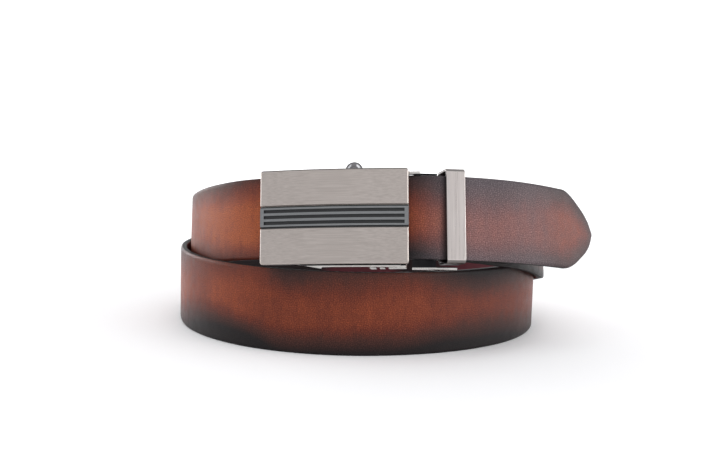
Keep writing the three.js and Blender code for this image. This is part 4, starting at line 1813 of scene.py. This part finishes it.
@dataclass
class Keeper:
    """The flat metal loop that holds the tail down, a little turned and tilted on the strap."""

    coil: Coil
    finishes: Finishes
    turn: float = 26.1
    width: float = 8.2
    wall: float = 1.2
    corner: float = 2.1
    corner_steps: int = 8
    twist: float = 6.0
    tilt: float = -1.7
    room_front: float = 0.8
    room_back: float = 1.9
    room_below: float = 0.4
    room_above: float = 1.75
    rounding: float = 0.3
    rounding_steps: int = 3
    rounding_angle: float = 60.0
    # Limits of a face's normal: below the first in x it looks left, below the second in z it looks down,
    # under the third in y it belongs to the flat underside, and from the fourth in y on it is brushed. The
    # low left side and the underside take painted shade in near-black metal, and the other edges a darker
    # painted shade
    left_from: float = -0.7
    down_from: float = -0.6
    level_to: float = 0.2
    brushed_from: float = 0.9

    def ring(self, grow: float, radius: float) -> list[tuple[float, float]]:
        """Lay out the loop's outline as depths and heights, grown outwards.

        Args:
            grow: How far the outline lies outside the room for the strap.
            radius: Corner radius.

        Returns:
            The outline's points in order.
        """
        low_y = -HALF_THICKNESS - self.room_front - grow
        high_y = LAYER + HALF_THICKNESS + self.room_back + grow
        low_z = -HALF_WIDTH - self.room_below - grow
        high_z = HALF_WIDTH + self.room_above + grow
        centres = (
            (high_y - radius, low_z + radius, -90),
            (high_y - radius, high_z - radius, 0),
            (low_y + radius, high_z - radius, 90),
            (low_y + radius, low_z + radius, 180),
        )
        points = []
        for y, z, start in centres:
            for step in range(self.corner_steps + 1):
                angle = math.radians(start + 90 * step / self.corner_steps)
                points.append((y + radius * math.cos(angle), z + radius * math.sin(angle)))
        return points

    def build(self) -> None:
        """Make the loop with rounded edges and set it on the strap."""
        outside = self.ring(self.wall, self.corner)
        inside = self.ring(0.0, self.corner - self.wall)
        half = self.width / 2
        loops = [(outside, -half), (outside, half), (inside, half), (inside, -half)]
        points = [(x, y, z) for ring, x in loops for y, z in ring]
        count = len(outside)
        faces = []
        for k in range(len(loops)):
            here, following = k * count, (k + 1) % len(loops) * count
            for i in range(count):
                j = (i + 1) % count
                faces.append((here + i, here + j, following + j, following + i))
        piece = new_object("keeper_dressed", mesh_from("keeper", points, faces))
        soften(piece, self.rounding, self.rounding_steps, self.rounding_angle)
        for finish in (self.finishes.keeper, self.finishes.keeper_edge_shaded, self.finishes.painted_shade_metal):
            piece.data.materials.append(finish)
        # Painted shade: the underside and the low left side take the near-black metal, the other edges the
        # darker nickel
        for face in piece.data.polygons:
            low_side = face.normal.x < self.left_from and face.center.z < -HALF_WIDTH * MM
            below = face.normal.z < self.down_from and abs(face.normal.y) < self.level_to
            unbrushed_and_shaded = abs(face.normal.y) < self.brushed_from
            face.material_index = 2 if low_side or below else int(unbrushed_and_shaded)
        tilted = Matrix.Rotation(math.radians(self.tilt), 4, "Y")
        turned = tilted @ Matrix.Rotation(math.radians(self.twist), 4, "Z")
        frame = self.coil.in_part(self.coil.tail.at(FRONT + self.turn).frame())
        place_piece(piece, frame @ turned, self.finishes.keeper)
        finish_piece(piece, BELT_BODY, ["keeper"])


@dataclass(frozen=True)
class SoftBox:
    """A soft studio light that looks at the belt."""

    name: str
    place: Point
    size: tuple[float, float]
    power: float
    colour: str = "#ffffff"
    aim: Point = (0.0, -0.04, 0.04)

    def build(self) -> None:
        """Put the light into the scene."""
        data = bpy.data.lights.new(self.name, "AREA")
        data.shape = "RECTANGLE"
        data.size, data.size_y = self.size
        data.energy = self.power
        data.color = linear(self.colour)[:3]
        lamp = bpy.data.objects.new(self.name, data)
        bpy.context.scene.collection.objects.link(lamp)
        lamp.location = self.place
        lamp.rotation_euler = (Vector(self.aim) - Vector(self.place)).to_track_quat("-Z", "Y").to_euler()


@dataclass
class Studio:
    """Pale floor with a curved backdrop, soft lights and the camera."""

    lens: float = 50.0
    camera_place: Point = (-0.01151, -0.48665, 0.096)
    pitch: float = 6.6
    roll: float = 1.62
    floor_half: float = 3.0
    sweep_start: float = 1.6
    sweep_radius: float = 1.2
    sweep_steps: int = 12
    backdrop_top: float = 3.2
    paper_roughness: float = 0.9
    paper_gloss: float = 0.1
    world_strength: float = 0.76
    clip: tuple[float, float] = (0.01, 20.0)
    # Columns: name, place, size and power in watts
    lights: tuple[SoftBox, ...] = (
        SoftBox("front_top", (0.0, -1.35, 1.05), (2.0, 0.8), 1.2),
        SoftBox("strip_left", (-1.35, -0.05, 0.28), (1.4, 0.5), 2.4),
        SoftBox("rim_left", (-1.3, 0.8, 0.35), (1.2, 0.5), 9.0),
        SoftBox("strip_right", (1.28, -0.28, 0.32), (1.5, 0.5), 9.5),
        SoftBox("floor_wash", (0.0, -0.1, 2.2), (3.0, 2.5), 8.0, aim=(0.0, -0.1, 0.0)),
        SoftBox("backdrop_wash", (0.0, 0.9, 1.9), (2.4, 0.6), 45.0, aim=(0.0, 2.6, 1.25)),
    )

    def make_floor(self) -> None:
        """Make the floor and its curved backdrop."""
        profile = [(-self.floor_half, 0.0), (self.sweep_start, 0.0)]
        radius = self.sweep_radius
        for step in range(1, self.sweep_steps + 1):
            angle = math.pi / 2 * step / self.sweep_steps
            along, height = radius * math.sin(angle), radius * (1 - math.cos(angle))
            profile.append((self.sweep_start + along, height))
        profile.append((self.sweep_start + radius, self.backdrop_top))
        points = [(x, y, z) for x in (-self.floor_half, self.floor_half) for y, z in profile]
        count = len(profile)
        faces = [(i, i + 1, count + i + 1, count + i) for i in range(count - 1)]
        mesh = bpy.data.meshes.new("backdrop")
        mesh.from_pydata(points, [], faces)
        mesh.shade_smooth()
        floor = new_object("backdrop", mesh)
        # White seamless paper: matt, with hardly a sheen
        material = bpy.data.materials.new("paper_backdrop")
        material.use_nodes = True
        shader = material.node_tree.nodes["Principled BSDF"]
        shader.inputs["Base Color"].default_value = linear("#ffffff")
        shader.inputs["Roughness"].default_value = self.paper_roughness
        shader.inputs["Specular IOR Level"].default_value = self.paper_gloss
        mesh.materials.append(material)

    def make_camera(self) -> None:
        """Place the camera at the photo's height, pitch and roll."""
        data = bpy.data.cameras.new("camera")
        data.lens = self.lens
        data.clip_start, data.clip_end = self.clip
        camera = bpy.data.objects.new("camera", data)
        bpy.context.scene.collection.objects.link(camera)
        pitch, roll = math.radians(self.pitch), math.radians(self.roll)
        forward = Vector((0, math.cos(pitch), -math.sin(pitch)))
        level = Vector((1, 0, 0))
        upright = Vector((0, math.sin(pitch), math.cos(pitch)))
        right = level * math.cos(roll) + upright * math.sin(roll)
        up = upright * math.cos(roll) - level * math.sin(roll)
        turned = Matrix((right, up, -forward)).transposed().to_4x4()
        camera.matrix_world = Matrix.Translation(Vector(self.camera_place)) @ turned
        bpy.context.scene.camera = camera

    def make_world(self) -> None:
        """Surround the set with even pale light."""
        world = bpy.data.worlds.new("studio")
        bpy.context.scene.world = world
        world.use_nodes = True
        back = world.node_tree.nodes["Background"]
        back.inputs["Color"].default_value = linear("#fbfcff")
        back.inputs["Strength"].default_value = self.world_strength

    def build(self) -> None:
        """Make the floor, the lights, the world and the camera."""
        self.make_floor()
        self.make_world()
        for light in self.lights:
            light.build()
        self.make_camera()
        view = bpy.context.scene.view_settings
        view.view_transform = "Standard"
        view.look = "None"


def corners(box: tuple[Vector, Vector]) -> list[list[float]]:
    """Return a box's lowest and highest corner as plain lists."""
    return [list(corner) for corner in box]


def main() -> None:
    """Build the studio and the belt's pieces in order."""
    logging.basicConfig(level=logging.INFO, format="%(name)s: %(message)s")
    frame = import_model()
    coil = Coil()
    Studio().build()
    finishes = Finishes()
    Strap(coil, finishes).build()
    Buckle(coil, finishes, frame).build()
    ReleaseLever(coil, finishes).build()
    StrapClamp(coil, finishes, frame).build()
    Keeper(coil, finishes).build()


if __name__ == "__main__":
    main()
